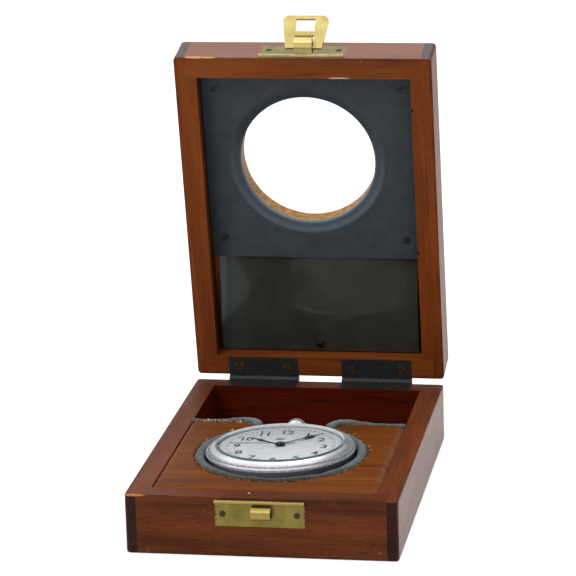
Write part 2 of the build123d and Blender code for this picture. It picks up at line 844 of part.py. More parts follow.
movement_top = dial_top_height - dial_thickness
with BuildPart() as movement:
    with BuildSketch(along_dial(movement_top)):
        Circle(movement_radius)
    extrude(amount=-movement_depth)
    with BuildSketch(along_dial(movement_top - movement_depth)):
        Circle(bridge_radius)
    extrude(amount=-bridge_depth)
finish(movement.part, "movement")

with BuildPart() as hand_arbor:
    with BuildSketch(along_dial(movement_top)):
        Circle(arbor_radius)
    extrude(amount=arbor_end_height - movement_top)
finish(hand_arbor.part, "hand_arbor")


# The hands, each drawn from the arbor towards its tip
def pear_hand(height, heading, length):
    """A hand whose thin stem swells like a pear before a long fine tip."""
    swell_start = swell_start_share * length
    swell_middle = swell_middle_share * length
    swell_end = swell_end_share * length
    swell = swell_half_width_share * length
    with BuildPart() as hand:
        with BuildSketch(along_dial(height, heading)):
            Circle(hub_radius)
            with BuildLine():
                Polyline(
                    (-hand_stem_half_width, 0),
                    (-hand_stem_half_width, swell_start),
                    (-swell, swell_middle),
                    (-hand_stem_half_width, swell_end),
                    (0, length),
                    (hand_stem_half_width, swell_end),
                    (swell, swell_middle),
                    (hand_stem_half_width, swell_start),
                    (hand_stem_half_width, 0),
                    close=True,
                )
            make_face()
            Circle(arbor_radius + hand_play, mode=Mode.SUBTRACT)
        extrude(amount=hand_thickness)
    return hand.part


finish(pear_hand(hour_height, hour_heading, hour_length), "hour_hand")
finish(pear_hand(minute_height, minute_heading, minute_length), "minute_hand")

with BuildPart() as seconds_hand:
    with BuildSketch(along_dial(seconds_height, seconds_heading)):
        with Locations((0, (seconds_length - seconds_tail_length) / 2)):
            Rectangle(2 * seconds_half_width, seconds_length + seconds_tail_length)
        Circle(hub_radius)
        Circle(arbor_radius + hand_play, mode=Mode.SUBTRACT)
    extrude(amount=hand_thickness)
finish(seconds_hand.part, "seconds_hand")

# The pendant, the winding stem, the crown and the bow
bow_pivot = toward_crown(bow_axis_distance).origin
with BuildPart() as pendant:
    with BuildSketch(toward_crown(case_bore_radius)):
        Circle(pendant_radius)
    extrude(amount=pendant_end_distance - case_bore_radius)
    with BuildSketch(along_dial(stem_height - pendant_radius)):
        Circle(case_radius)
    extrude(amount=2 * pendant_radius, mode=Mode.SUBTRACT)
    with BuildSketch(toward_crown(case_bore_radius)):
        Circle(stem_hole)
    extrude(amount=pendant_end_distance - case_bore_radius, mode=Mode.SUBTRACT)
    with BuildSketch(Plane(origin=bow_pivot, x_dir=watch_frame.y_dir, z_dir=watch_frame.x_dir)):
        Circle(bow_pin_radius + bow_play)
    extrude(amount=pendant_radius, both=True, mode=Mode.SUBTRACT)
finish(pendant.part, "pendant")

with BuildPart() as winding_stem:
    with BuildSketch(toward_crown(case_bore_radius)):
        Circle(stem_radius)
    extrude(amount=crown_start_distance + crown_bore_depth - case_bore_radius)
finish(winding_stem.part, "winding_stem")

with BuildPart() as crown:
    with BuildSketch(toward_crown(crown_start_distance)):
        Circle(crown_radius)
    extrude(amount=crown_length)
    fillet(crown.edges().filter_by(GeomType.CIRCLE).sort_by(Axis.Y)[-1], crown_edge_radius)
    with BuildSketch(toward_crown(crown_start_distance)):
        Circle(stem_hole)
    extrude(amount=crown_bore_depth, mode=Mode.SUBTRACT)
finish(crown.part, "crown")

bow_middle = Plane(origin=bow_pivot, x_dir=watch_frame.x_dir, z_dir=watch_frame.z_dir)
bow_plane = Plane(bow_middle.location * Location((0, 0, 0), (-bow_droop, 0, 0)))
bow_end = pendant_radius + bow_ear_gap
bow_turn = bow_half_width - bow_corner_radius


def beside_bow(side, distance):
    """A place on the bow's own axis that faces the pendant from one side of it."""
    middle = bow_plane.from_local_coords((side * distance, 0, 0))
    return Plane(origin=middle, x_dir=bow_plane.y_dir, z_dir=bow_plane.x_dir * -side)


with BuildPart() as bow:
    with BuildLine(bow_plane):
        Line((-bow_end, 0), (-bow_turn, 0))
        CenterArc((-bow_turn, bow_corner_radius), bow_corner_radius, -90, -90)
        CenterArc((0, bow_corner_radius), bow_half_width, 180, -180)
        CenterArc((bow_turn, bow_corner_radius), bow_corner_radius, 0, -90)
        Line((bow_turn, 0), (bow_end, 0))
    with BuildSketch(beside_bow(-1, bow_end)):
        Circle(bow_wire_radius)
    sweep()
    for side in (-1, 1):
        with BuildSketch(beside_bow(side, bow_end)):
            Circle(bow_pin_radius)
        extrude(amount=bow_pin_length)
finish(bow.part, "bow")
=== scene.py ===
# %% [markdown]
# # A deck watch in its hinged box
#
# The box is two shallow wooden trays on a pair of small black hinges. The lower tray holds a wooden
# block with a felt-lined well for the watch. The lid holds a slate-grey plate with a sight hole, and
# below it a card behind a clear sheet.
#
# The solids come from the CAD model, in metres, and they stay where they are. This lesson gives each
# of them a finish, and makes the small things that are too fine or too soft for a solid: the felt,
# the milled edges, the crown's ribs, the dial's figures and ticks, and the crumbs of old glue.

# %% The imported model
import math

import bmesh
import bpy
from mathutils import Matrix, Vector, noise


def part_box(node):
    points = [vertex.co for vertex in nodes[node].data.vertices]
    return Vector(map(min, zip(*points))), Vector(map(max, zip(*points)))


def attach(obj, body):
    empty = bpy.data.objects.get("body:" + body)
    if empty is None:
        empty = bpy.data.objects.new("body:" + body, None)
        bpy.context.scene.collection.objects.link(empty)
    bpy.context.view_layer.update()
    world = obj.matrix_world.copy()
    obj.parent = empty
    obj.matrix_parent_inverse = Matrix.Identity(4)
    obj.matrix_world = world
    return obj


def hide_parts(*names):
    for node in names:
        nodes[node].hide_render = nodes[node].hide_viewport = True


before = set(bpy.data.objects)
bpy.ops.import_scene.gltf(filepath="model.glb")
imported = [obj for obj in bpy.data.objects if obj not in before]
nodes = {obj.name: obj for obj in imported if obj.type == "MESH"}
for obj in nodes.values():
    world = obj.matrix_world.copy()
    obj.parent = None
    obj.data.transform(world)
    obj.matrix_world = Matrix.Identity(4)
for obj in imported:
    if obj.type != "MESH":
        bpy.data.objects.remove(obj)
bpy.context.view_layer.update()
mm = 0.001

# %% [markdown]
# ## Three frames of reference
#
# The lid stands open by 79.5 degrees, a little short of upright, and the watch leans a little in its
# well. It would be painful to work out each point of a leaning piece by hand. A matrix does it: it
# takes a point that is measured square to the lid, or square to the dial, and gives its place in
# the scene.

# %% Where the lid, the base and the watch stand
hinge_axis = Vector((0, 63.4, 20.5)) * mm
lid_opening = math.radians(79.5)
base_space = Matrix.Translation(hinge_axis)
lid_space = base_space @ Matrix.Rotation(-lid_opening, 4, "X")
watch_lean = Matrix.Rotation(math.radians(-2.2), 4, "X") @ Matrix.Rotation(math.radians(-1.2), 4, "Y")
watch_space = Matrix.Translation(Vector((-0.5, -18.6, 20.4)) * mm) @ watch_lean
print("the lid's free edge is at", [round(v, 4) for v in lid_space @ Vector((0, -0.1254, 0))])

# %% [markdown]
# ## Camera
#
# The photograph was taken from well back with a long lens, a little to the right of the box and
# above it. The place, the three turns and the focal length were worked out from the corners of the
# box in the photograph.

# %% The camera
camera_place = Vector((0.172955, -0.972434, 0.355774))
camera_yaw, camera_pitch, camera_roll = (math.radians(a) for a in (-10.068, 15.959, -1.694))
look = Vector((
    math.sin(camera_yaw) * math.cos(camera_pitch),
    math.cos(camera_yaw) * math.cos(camera_pitch),
    -math.sin(camera_pitch),
))
level = Vector((math.cos(camera_yaw), -math.sin(camera_yaw), 0))
upright = level.cross(look)
camera_x = level * math.cos(camera_roll) + upright * math.sin(camera_roll)
camera_y = upright * math.cos(camera_roll) - level * math.sin(camera_roll)
camera_data = bpy.data.cameras.new("camera")
camera_data.lens = 190.39
camera_data.sensor_width = 36
camera = bpy.data.objects.new("camera", camera_data)
camera.matrix_world = Matrix((
    (camera_x.x, camera_y.x, -look.x, camera_place.x),
    (camera_x.y, camera_y.y, -look.y, camera_place.y),
    (camera_x.z, camera_y.z, -look.z, camera_place.z),
    (0, 0, 0, 1),
))
bpy.context.scene.collection.objects.link(camera)
bpy.context.scene.camera = camera
print("camera stands", round(camera.location.length, 3), "m from the origin")

# %% [markdown]
# ## Building node trees without a mouse
#
# Every finish below is a node tree. A tiny helper adds one node, sets its options, and fills its
# inputs with a number, a colour or the output of another node. Colours are written as the 0 to 255
# values that a paint program shows, and turned into the linear light that Blender works in.

# %% Helpers for node trees
def put(tree, kind, inputs=None, **options):
    """Adds a node. Each of its inputs is given a value, or joined to another node's socket."""
    node = tree.nodes.new(kind)
    for name, value in options.items():
        setattr(node, name, value)
    for name, value in (inputs or {}).items():
        if isinstance(value, bpy.types.NodeSocket):
            tree.links.new(value, node.inputs[name])
        else:
            node.inputs[name].default_value = value
    return node


def colour(red, green, blue):
    """A colour as a paint program shows it, in linear light."""
    shares = (value / 255 for value in (red, green, blue))
    return tuple(s / 12.92 if s <= 0.04045 else ((s + 0.055) / 1.055) ** 2.4 for s in shares) + (1.0,)


def sum_up(tree, operation, first, second=0.5):
    """A Math node's result."""
    return put(tree, "ShaderNodeMath", {0: first, 1: second}, operation=operation).outputs[0]


def on_vectors(tree, operation, first, second=(0, 0, 0)):
    """A Vector Math node's outputs: 0 is a vector, and Value is a length or a distance."""
    return put(tree, "ShaderNodeVectorMath", {0: first, 1: second}, operation=operation).outputs


def along_axes(tree, vector):
    """A vector's three numbers."""
    return put(tree, "ShaderNodeSeparateXYZ", {0: vector}).outputs


def blend(tree, share, first, second, way="MIX"):
    """Two colours mixed by a share from 0 to 1."""
    node = put(tree, "ShaderNodeMix", {0: share, 6: first, 7: second}, data_type="RGBA", blend_type=way)
    return node.outputs[2]


def wash(tree, body, mask, most, paint):
    """A colour laid over another where a mask is 1, at most by a share."""
    return blend(tree, sum_up(tree, "MULTIPLY", mask, most), body, colour(*paint))


def stretch(tree, value, low, high, to_low=0.0, to_high=1.0):
    """A value's range from low to high, spread over another range and held inside it."""
    inputs = {0: value, 1: low, 2: high, 3: to_low, 4: to_high}
    return put(tree, "ShaderNodeMapRange", inputs).outputs[0]


floor_grey = (226, 226, 226)
print("the floor's grey in linear light:", round(colour(*floor_grey)[0], 3))

# %% [markdown]
# ## Floor, world and lamps
#
# The photograph is a cut-out on white, lit softly from all around. A white world does most of that
# work. Its strength is 1 for the camera, for mirror-like rays and for rays through glass, so metal
# and glass show a white studio, and lower for the light that falls on the box. Two large lamps give
# the light a direction. The floor adds a little light of its own for the same rays, so it comes out
# white and still keeps the box's soft shadow.

# %% The studio
def seen_directly(tree):
    """1 for camera, glossy and transmitted rays, 0 for the light that falls on things."""
    path = put(tree, "ShaderNodeLightPath")
    seen = sum_up(tree, "MAXIMUM", path.outputs["Is Camera Ray"], path.outputs["Is Glossy Ray"])
    return sum_up(tree, "MAXIMUM", seen, path.outputs["Is Transmission Ray"])


scene = bpy.context.scene
scene.view_settings.view_transform = "Standard"
world = bpy.data.worlds.new("studio")
world.use_nodes = True
scene.world = world
sky = world.node_tree
sky.nodes["Background"].inputs["Color"].default_value = colour(255, 255, 255)
sky.links.new(stretch(sky, seen_directly(sky), 0, 1, 0.5, 1.0), sky.nodes["Background"].inputs["Strength"])


def lamp(name, place, aim, size, power):
    """A square soft lamp that looks at a point."""
    data = bpy.data.lights.new(name, "AREA")
    data.shape, data.size, data.energy = "SQUARE", size, power
    item = bpy.data.objects.new(name, data)
    item.location = place
    item.rotation_euler = (Vector(aim) - Vector(place)).to_track_quat("-Z", "Y").to_euler()
    scene.collection.objects.link(item)


lamp("key_lamp", (-0.55, -0.75, 0.95), (0, 0, 0.05), 0.7, 9.0)
lamp("top_lamp", (0.25, 0.15, 1.1), (0, 0, 0.05), 0.8, 7.0)

floor_mesh = bpy.data.meshes.new("floor")
floor_mesh.from_pydata([(-6, -6, 0), (6, -6, 0), (6, 6, 0), (-6, 6, 0)], [], [(0, 1, 2, 3)])
floor = bpy.data.objects.new("floor", floor_mesh)
scene.collection.objects.link(floor)
floor_finish = bpy.data.materials.new("floor_paper")
floor_finish.use_nodes = True
paper = floor_finish.node_tree
paper.nodes.clear()
diffuse = put(paper, "ShaderNodeBsdfDiffuse", {"Color": colour(*floor_grey)})
glow = put(paper, "ShaderNodeEmission", {"Strength": stretch(paper, seen_directly(paper), 0, 1, 0, 0.5)})
both = put(paper, "ShaderNodeAddShader", {0: diffuse.outputs[0], 1: glow.outputs[0]})
put(paper, "ShaderNodeOutputMaterial", {"Surface": both.outputs[0]})
floor_mesh.materials.append(floor_finish)

# %% [markdown]
# ## Groups: one recipe, many finishes
#
# Wood grain, fine scratches, mottling and worn edges come back on many pieces. Each is a node group
# with named inputs, built once. A material drops the group in and sets its own numbers.

# %% Helpers that make a node group
def group(name, inputs, outputs):
    """An empty node group with its sockets. An input that starts with no number is a vector."""
    tree = bpy.data.node_groups.new(name, "ShaderNodeTree")
    for label, start in inputs.items():
        kind = "NodeSocketVector" if start is None else "NodeSocketFloat"
        socket = tree.interface.new_socket(label, in_out="INPUT", socket_type=kind)
        if start is not None:
            socket.default_value = start
    for label in outputs:
        tree.interface.new_socket(label, in_out="OUTPUT", socket_type="NodeSocketFloat")
    return tree, put(tree, "NodeGroupInput").outputs, put(tree, "NodeGroupOutput").inputs


def noise_at(tree, vector, scale, detail=2.0, roughness=0.5, distortion=0.0):
    """A noise pattern read at a vector."""
    inputs = {"Vector": vector, "Scale": scale, "Detail": detail, "Roughness": roughness}
    return put(tree, "ShaderNodeTexNoise", {**inputs, "Distortion": distortion}).outputs["Fac"]


def scaled(tree, vector, scale):
    """A vector stretched along each axis."""
    return put(tree, "ShaderNodeMapping", {"Vector": vector, "Scale": scale}).outputs[0]


# %% [markdown]
# ## Wood grain
#
# Mahogany-like wood has three scales of pattern: broad bands of darker and lighter wood, fine silky
# fibres, and short dark pores that look like dashes. All three run along the board. Each is plain
# noise, read through a Mapping that squeezes the board lengthwise, so the blobs of noise stretch
# into streaks. Because the pattern is solid, the ends of a board show dots, as real end grain does.

# %% The grain group
tree, given, result = group("wood_grain", {"Vector": None, "Pore Amount": 0.5}, ("Bands", "Fibres", "Pores"))
slow = scaled(tree, given["Vector"], (12, 130, 130))
silky = scaled(tree, given["Vector"], (55, 1500, 1500))
short = scaled(tree, given["Vector"], (230, 2600, 2600))
bands = noise_at(tree, slow, 1.0, 4, 0.6, 0.6)
tree.links.new(stretch(tree, bands, 0.3, 0.7), result["Bands"])
fibres = noise_at(tree, silky, 1.0, 3, 0.6)
tree.links.new(stretch(tree, fibres, 0.25, 0.75), result["Fibres"])
dashes = noise_at(tree, short, 1.0, 1, 0.4)
threshold = stretch(tree, given["Pore Amount"], 0, 1, 0.78, 0.5)
pores = sum_up(tree, "SUBTRACT", dashes, threshold)
tree.links.new(stretch(tree, pores, 0.0, 0.07), result["Pores"])
print("groups:", [g.name for g in bpy.data.node_groups])

# %% [markdown]
# ## Worn edges
#
# The polish has gone from the box's outer edges, and small chips show paler wood. Each half of the
# box is a plain block in its own frame, so a point is near an edge when it is near two of the
# block's faces at once. The group measures how far the point is inside each pair of faces, takes
# the middle one of the three distances, and adds noise so the wear comes and goes.

# %% The edge group
tree, given, result = group(
    "worn_edges",
    {"Vector": None, "Centre": None, "Half Size": None, "Width": 0.001, "Patch Size": 90.0},
    ("Wear", "Chips"),
)
from_middle = on_vectors(tree, "SUBTRACT", given["Vector"], given["Centre"])[0]
inwards = on_vectors(tree, "ABSOLUTE", from_middle)[0]
deep = along_axes(tree, on_vectors(tree, "SUBTRACT", given["Half Size"], inwards)[0])
low_pair = sum_up(tree, "MINIMUM", deep[0], deep[1])
high_pair = sum_up(tree, "MAXIMUM", deep[0], deep[1])
middle = sum_up(tree, "MAXIMUM", low_pair, sum_up(tree, "MINIMUM", high_pair, deep[2]))
patches = noise_at(tree, given["Vector"], given["Patch Size"], 3, 0.6)
reach = sum_up(tree, "MULTIPLY", given["Width"], stretch(tree, patches, 0.35, 0.7, 0.0, 2.0))
never_zero = 0.00001
share = sum_up(tree, "DIVIDE", middle, sum_up(tree, "ADD", reach, never_zero))
tree.links.new(stretch(tree, share, 0.4, 1.0, 1.0, 0.0), result["Wear"])
crumbs = noise_at(tree, given["Vector"], sum_up(tree, "MULTIPLY", given["Patch Size"], 4.0), 4, 0.7)
near_edge = stretch(tree, share, 0.8, 1.4, 1, 0)
tree.links.new(sum_up(tree, "MULTIPLY", stretch(tree, crumbs, 0.66, 0.7), near_edge), result["Chips"])

# %% [markdown]
# ## Scratches, mottling, spots and rings
#
# A scratch is the thin line where a stretched noise crosses one value. Mottling is soft noise over
# finer noise. A spot is the space round a point, with its own reach along each axis and an outline
# that noise may tear, for pin holes, chips and stains. A ring marks the rim of a round hole.

# %% The scratch and mottle groups
tree, given, result = group("scratches", {"Vector": None, "Scale": 1.0, "Amount": 0.5}, ("Lines",))
bent = put(tree, "ShaderNodeVectorRotate", {"Vector": given["Vector"], "Angle": 0.5}, rotation_type="Z_AXIS")
lanes = scaled(tree, bent.outputs[0], (25, 420, 420))
ripple = noise_at(tree, lanes, given["Scale"], 1, 0.4, 0.3)
line = sum_up(tree, "ABSOLUTE", sum_up(tree, "SUBTRACT", ripple, 0.5))
where = noise_at(tree, given["Vector"], 70.0, 2)
limit = stretch(tree, given["Amount"], 0, 1, 0.75, 0.35)
there = stretch(tree, sum_up(tree, "SUBTRACT", where, limit), 0.0, 0.08)
tree.links.new(sum_up(tree, "MULTIPLY", stretch(tree, line, 0.0, 0.008, 1, 0), there), result["Lines"])

tree, given, result = group("mottle", {"Vector": None, "Size": 0.004}, ("Clouds", "Grit"))
fineness = sum_up(tree, "DIVIDE", 1.0, given["Size"])
clouds = noise_at(tree, given["Vector"], fineness, 5, 0.65)
grit = noise_at(tree, given["Vector"], sum_up(tree, "MULTIPLY", fineness, 12.0), 2, 0.6)
tree.links.new(stretch(tree, clouds, 0.3, 0.7), result["Clouds"])
tree.links.new(stretch(tree, grit, 0.3, 0.7), result["Grit"])

# %% The spot and ring groups
tree, given, result = group("spot", {"Vector": None, "Centre": None, "Reach": None, "Ragged": 0.0}, ("Spot",))
apart = on_vectors(tree, "SUBTRACT", given["Vector"], given["Centre"])[0]
distance = on_vectors(tree, "LENGTH", on_vectors(tree, "DIVIDE", apart, given["Reach"])[0])["Value"]
tear = sum_up(tree, "SUBTRACT", noise_at(tree, given["Vector"], 900.0, 3), 0.5)
distance = sum_up(tree, "ADD", distance, sum_up(tree, "MULTIPLY", tear, given["Ragged"]))
tree.links.new(stretch(tree, distance, 0.75, 1.1, 1, 0), result["Spot"])

tree, given, result = group(
    "ring", {"Vector": None, "Centre": None, "Radius": 0.01, "Width": 0.001}, ("Band", "Inside"))
flat = on_vectors(tree, "MULTIPLY", given["Vector"], (1, 1, 0))[0]
flat_centre = on_vectors(tree, "MULTIPLY", given["Centre"], (1, 1, 0))[0]
away = on_vectors(tree, "DISTANCE", flat, flat_centre)["Value"]
signed = sum_up(tree, "SUBTRACT", away, given["Radius"])
off = sum_up(tree, "DIVIDE", sum_up(tree, "ABSOLUTE", signed), given["Width"])
tree.links.new(stretch(tree, off, 0.3, 1.0, 1, 0), result["Band"])
tree.links.new(stretch(tree, signed, -0.1 * mm, 0.1 * mm, 1, 0), result["Inside"])
print("groups:", [g.name for g in bpy.data.node_groups])

# %% [markdown]
# ## Starting a finish
#
# Every finish starts the same way: a Principled shader with its fixed numbers, and the point being
# shaded, measured in metres in the frame of the part that it belongs to. The Mapping node undoes
# the lid's lean, so a lid board and a base board read the same grain recipe. At the end the
# patterns are joined to the shader, and the material is put on its CAD pieces. A finish that is
# done may still be painted over, in zones along the axes of such a frame.

# %% Helpers that start a finish and join it up
def point_in(tree, space=None):
    """The shaded point in metres, in a frame or, without one, in the scene."""
    point = put(tree, "ShaderNodeTexCoord").outputs["Object"]
    if space is None:
        return point
    back = space.inverted()
    place = {"Vector": point, "Location": back.translation, "Rotation": back.to_euler()}
    return put(tree, "ShaderNodeMapping", place).outputs[0]


def start_finish(name, space=None, **fixed):
    """A new material, its node tree, its shader, and the shaded point in a frame."""
    material = bpy.data.materials.new(name)
    material.use_nodes = True
    tree = material.node_tree
    shader = tree.nodes["Principled BSDF"]
    for label, value in fixed.items():
        shader.inputs[label.replace("_", " ")].default_value = value
    return material, tree, shader, point_in(tree, space)


def use(tree, name, inputs):
    """Places a node group and returns its outputs."""
    return put(tree, "ShaderNodeGroup", inputs, node_tree=bpy.data.node_groups[name]).outputs


def feed(tree, shader, **patterns):
    """Joins patterns to a shader's inputs."""
    for label, pattern in patterns.items():
        tree.links.new(pattern, shader.inputs[label.replace("_", " ")])


def bump(tree, shader, height, distance):
    """Gives a shader a fine relief, with its depth in metres."""
    relief = put(tree, "ShaderNodeBump", {"Height": height, "Distance": distance})
    feed(tree, shader, Normal=relief.outputs[0])


# %% Helpers that paint over a finish and put it on
def paint_over(material, space, reaches, paint):
    """Blends a colour over a finish.

    A reach is (axis, from, to, amount at from, amount at to), in millimetres in a frame. On axis 0
    the left and the right side count alike.
    """
    tree = material.node_tree
    shader = tree.nodes["Principled BSDF"]
    below = shader.inputs["Base Color"].links[0].from_socket
    axes = along_axes(tree, point_in(tree, space))
    amount = 1.0
    for axis, start, end, low, high in reaches:
        value = sum_up(tree, "ABSOLUTE", axes[axis]) if axis == 0 else axes[axis]
        amount = sum_up(tree, "MULTIPLY", amount, stretch(tree, value, start * mm, end * mm, low, high))
    feed(tree, shader, Base_Color=blend(tree, amount, below, colour(*paint)))


def dress(material, *names):
    """Puts a material on CAD nodes."""
    for name in names:
        slots = nodes[name].data.materials
        slots.clear()
        slots.append(material)


# %% [markdown]
# ## The case's wood
#
# The boards are reddish brown under an old polish. The front and rear boards run from side to side
# and the side boards run from front to back, so each pair gets its own direction of grain. The ends
# of the side boards show at the corners of the front as two darker strips: end grain soaks up more
# polish. The shader's specular level is low, because a bright sheen would veil the front boards.

# %% A recipe for a board
half_box = {
    "base": (Vector((0, -63.4, -10.3)) * mm, Vector((45, 62, 10.2)) * mm),
    "lid": (Vector((0, -63.4, 7.7)) * mm, Vector((45, 62, 7.6)) * mm),
}
spaces = {"base": base_space, "lid": lid_space}
inner_faces = (37.45 * mm, 54.45 * mm)


def board_wood(name, half, along, dark, light, inside=None, coats=(0.0, 0.0),
               pore_amount=0.5, rough=0.42, gloss=0.07, marks=()):
    """Polished wood whose grain runs along one axis of a half of the box.

    Its inner faces may be deeper in tone, and its outer faces to the sides and ends may keep a coat
    of polish.
    """
    material, tree, shader, point = start_finish(
        name, spaces[half], Specular_IOR_Level=gloss, Coat_Roughness=0.25)
    turn = {"x": (0, 0, 0), "y": (0, 0, math.pi / 2)}[along]
    grain_point = put(tree, "ShaderNodeMapping", {"Vector": point, "Rotation": turn}).outputs[0]
    grain = use(tree, "wood_grain", {"Vector": grain_point, "Pore Amount": pore_amount})
    tone = sum_up(tree, "MULTIPLY", grain["Bands"], 0.6)
    tone = sum_up(tree, "ADD", tone, sum_up(tree, "MULTIPLY", grain["Fibres"], 0.4))
    body = blend(tree, tone, colour(*dark), colour(*light))
    body = wash(tree, body, grain["Pores"], 0.65, (34, 16, 12))

    facing = put(tree, "ShaderNodeTexCoord").outputs["Normal"]
    if half == "lid":
        undo = {"Vector": facing, "Rotation": lid_space.inverted().to_euler()}
        facing = put(tree, "ShaderNodeMapping", undo, vector_type="NORMAL").outputs[0]
    across = sum_up(tree, "ABSOLUTE", along_axes(tree, facing)["xyz".index(along)])
    end_grain = blend(tree, 0.85, body, colour(24, 15, 18))
    body = blend(tree, stretch(tree, across, 0.6, 0.95), body, end_grain)

    centre, size = half_box[half]
    from_middle = on_vectors(tree, "SUBTRACT", point, centre)[0]
    reach = along_axes(tree, on_vectors(tree, "ABSOLUTE", from_middle)[0])
    at_side = stretch(tree, reach[0], size.x - 0.3 * mm, size.x - 0.05 * mm, 0, coats[0])
    at_end = stretch(tree, reach[1], size.y - 0.3 * mm, size.y - 0.05 * mm, 0, coats[1])
    if inside is not None:
        beyond = [sum_up(tree, "SUBTRACT", reach[i], inner_faces[i]) for i in (0, 1)]
        within = stretch(tree, sum_up(tree, "MAXIMUM", *beyond), -0.03 * mm, 0.03 * mm, 1, 0)
        body = blend(tree, within, body, blend(tree, 1.0, body, colour(*inside), "MULTIPLY"))

    edges = use(tree, "worn_edges", {"Vector": point, "Centre": centre, "Half Size": size, "Width": 0.9 * mm})
    body = wash(tree, body, edges["Wear"], 0.5, (44, 24, 20))
    body = wash(tree, body, edges["Chips"], 0.45, (178, 128, 90))
    for place, spread, ragged, paint in marks:
        spot = {"Centre": Vector(place) * mm, "Reach": Vector(spread) * mm, "Ragged": ragged}
        body = blend(tree, use(tree, "spot", {"Vector": point, **spot})["Spot"], body, colour(*paint))
    lines = use(tree, "scratches", {"Vector": point, "Amount": 0.35})
    body = wash(tree, body, lines["Lines"], 0.3, (170, 120, 90))
    feed(tree, shader, Base_Color=body, Coat_Weight=sum_up(tree, "MAXIMUM", at_side, at_end),
         Roughness=stretch(tree, grain["Fibres"], 0, 1, rough - 0.06, rough + 0.08))
    relief = sum_up(tree, "SUBTRACT", sum_up(tree, "MULTIPLY", grain["Fibres"], 0.4), grain["Pores"])
    bump(tree, shader, relief, 0.06 * mm)
    return material


# %% [markdown]
# The lid's right side has two old pin holes, and the edges of both halves have chips. Each chip or
# hole is a spot: a place and its reach along the three axes, in millimetres from the hinge axis, how
# ragged its outline is, and its colour. Deep in the lid the side boards get a painted shade, and the
# top edges of the block get a painted highlight at its sides and at its front.

# %% The case boards
pin_holes = (
    ((37.7, -106.2, 0.1), (0.55, 0.55, 0.55), 0.0, (20, 8, 6)),
    ((37.7, -51.5, 0.1), (0.5, 0.5, 0.5), 0.0, (20, 8, 6)),
)
lid_chips = (
    ((-37.5, -125.4, 0.2), (3.4, 0.45, 0.9), 0.9, (196, 134, 84)),
    ((-32.5, -125.4, 0.2), (2.4, 0.4, 0.7), 0.9, (188, 128, 80)),
    ((12.6, -117.9, 0.1), (3.6, 0.42, 0.5), 0.7, (196, 164, 140)),
)
base_chips = (
    ((-42.0, -125.4, -0.2), (4.6, 0.7, 0.5), 0.9, (182, 108, 62)),
    ((-45.0, -124.6, -0.6), (0.6, 1.6, 1.4), 0.8, (168, 100, 60)),
    ((-4.4, -120.6, -0.1), (0.45, 0.6, 0.5), 0.5, (196, 160, 130)),
)
deep_red = (225, 142, 96)
base_ends = board_wood(
    "base_end_wood", "base", "x", (50, 20, 8), (112, 58, 28), inside=deep_red, marks=base_chips)
dress(base_ends, "base_front_board", "base_rear_board")
base_sides = board_wood(
    "base_side_wood", "base", "y", (64, 28, 12), (120, 62, 30), inside=deep_red, coats=(0.3, 0.0),
    marks=base_chips)
dress(base_sides, "base_left_side", "base_right_side")
lid_ends = board_wood(
    "lid_end_wood", "lid", "x", (84, 36, 12), (132, 70, 28), coats=(0.0, 0.8), pore_amount=0.2,
    marks=lid_chips)
dress(lid_ends, "lid_front_board", "lid_rear_board")
lid_sides = board_wood(
    "lid_side_wood", "lid", "y", (80, 32, 8), (130, 66, 24), coats=(0.15, 0.8), pore_amount=0.2,
    marks=pin_holes)
# painted shade: the inner faces of the lid's side boards darken deep in the recess
paint_over(lid_sides, lid_space, [(0, 37.46, 37.52, 1.0, 0.0), (2, 0.8, 5.5, 0.0, 0.85)], (14, 6, 4))
dress(lid_sides, "lid_left_side", "lid_right_side")
dress(board_wood("bottom_wood", "base", "y", (52, 16, 6), (84, 32, 14), rough=0.6), "base_bottom")
block_finish = board_wood(
    "block_wood", "base", "x", (64, 28, 4), (126, 68, 20), pore_amount=0.35, rough=0.5, gloss=0.08)
# painted highlight: pale bands along the top edges of the block, at its sides and at its front
top_edge_highlight_band = (2, 0.1, 0.3, 0.0, 1.0)
paint_over(block_finish, base_space, [(0, 36.0, 36.5, 0.0, 0.45), top_edge_highlight_band], (196, 172, 150))
paint_over(block_finish, base_space, [(1, -116.7, -117.1, 0.0, 0.4), top_edge_highlight_band], (190, 150, 118))
dress(block_finish, "watch_block")
print("finishes so far:", len(bpy.data.materials))

# %% [markdown]
# ## Raw wood in the sight hole
#
# The hole through the lid's panel was cut after the polish. Its wall is pale, torn wood. The recipe
# is the same, and a ring mask round the hole's axis lets the pale wood show.

# %% The lid's panel
sight_centre = Vector((-1.3, -83.3, 0)) * mm
panel_finish = board_wood("lid_panel_wood", "lid", "y", (92, 42, 14), (134, 70, 28))
tree = panel_finish.node_tree
shader = tree.nodes["Principled BSDF"]
polished = shader.inputs["Base Color"].links[0].from_socket
point = point_in(tree, lid_space)
cut = use(tree, "ring", {"Vector": point, "Centre": sight_centre, "Radius": 24.1 * mm, "Width": 1 * mm})
torn = use(tree, "mottle", {"Vector": scaled(tree, point, (0.35, 1, 1)), "Size": 1.1 * mm})
raw = blend(tree, torn["Clouds"], colour(112, 66, 24), colour(204, 160, 98))
raw = wash(tree, raw, torn["Grit"], 0.3, (66, 40, 20))
feed(tree, shader, Base_Color=blend(tree, cut["Inside"], polished, raw))
dress(panel_finish, "lid_panel")
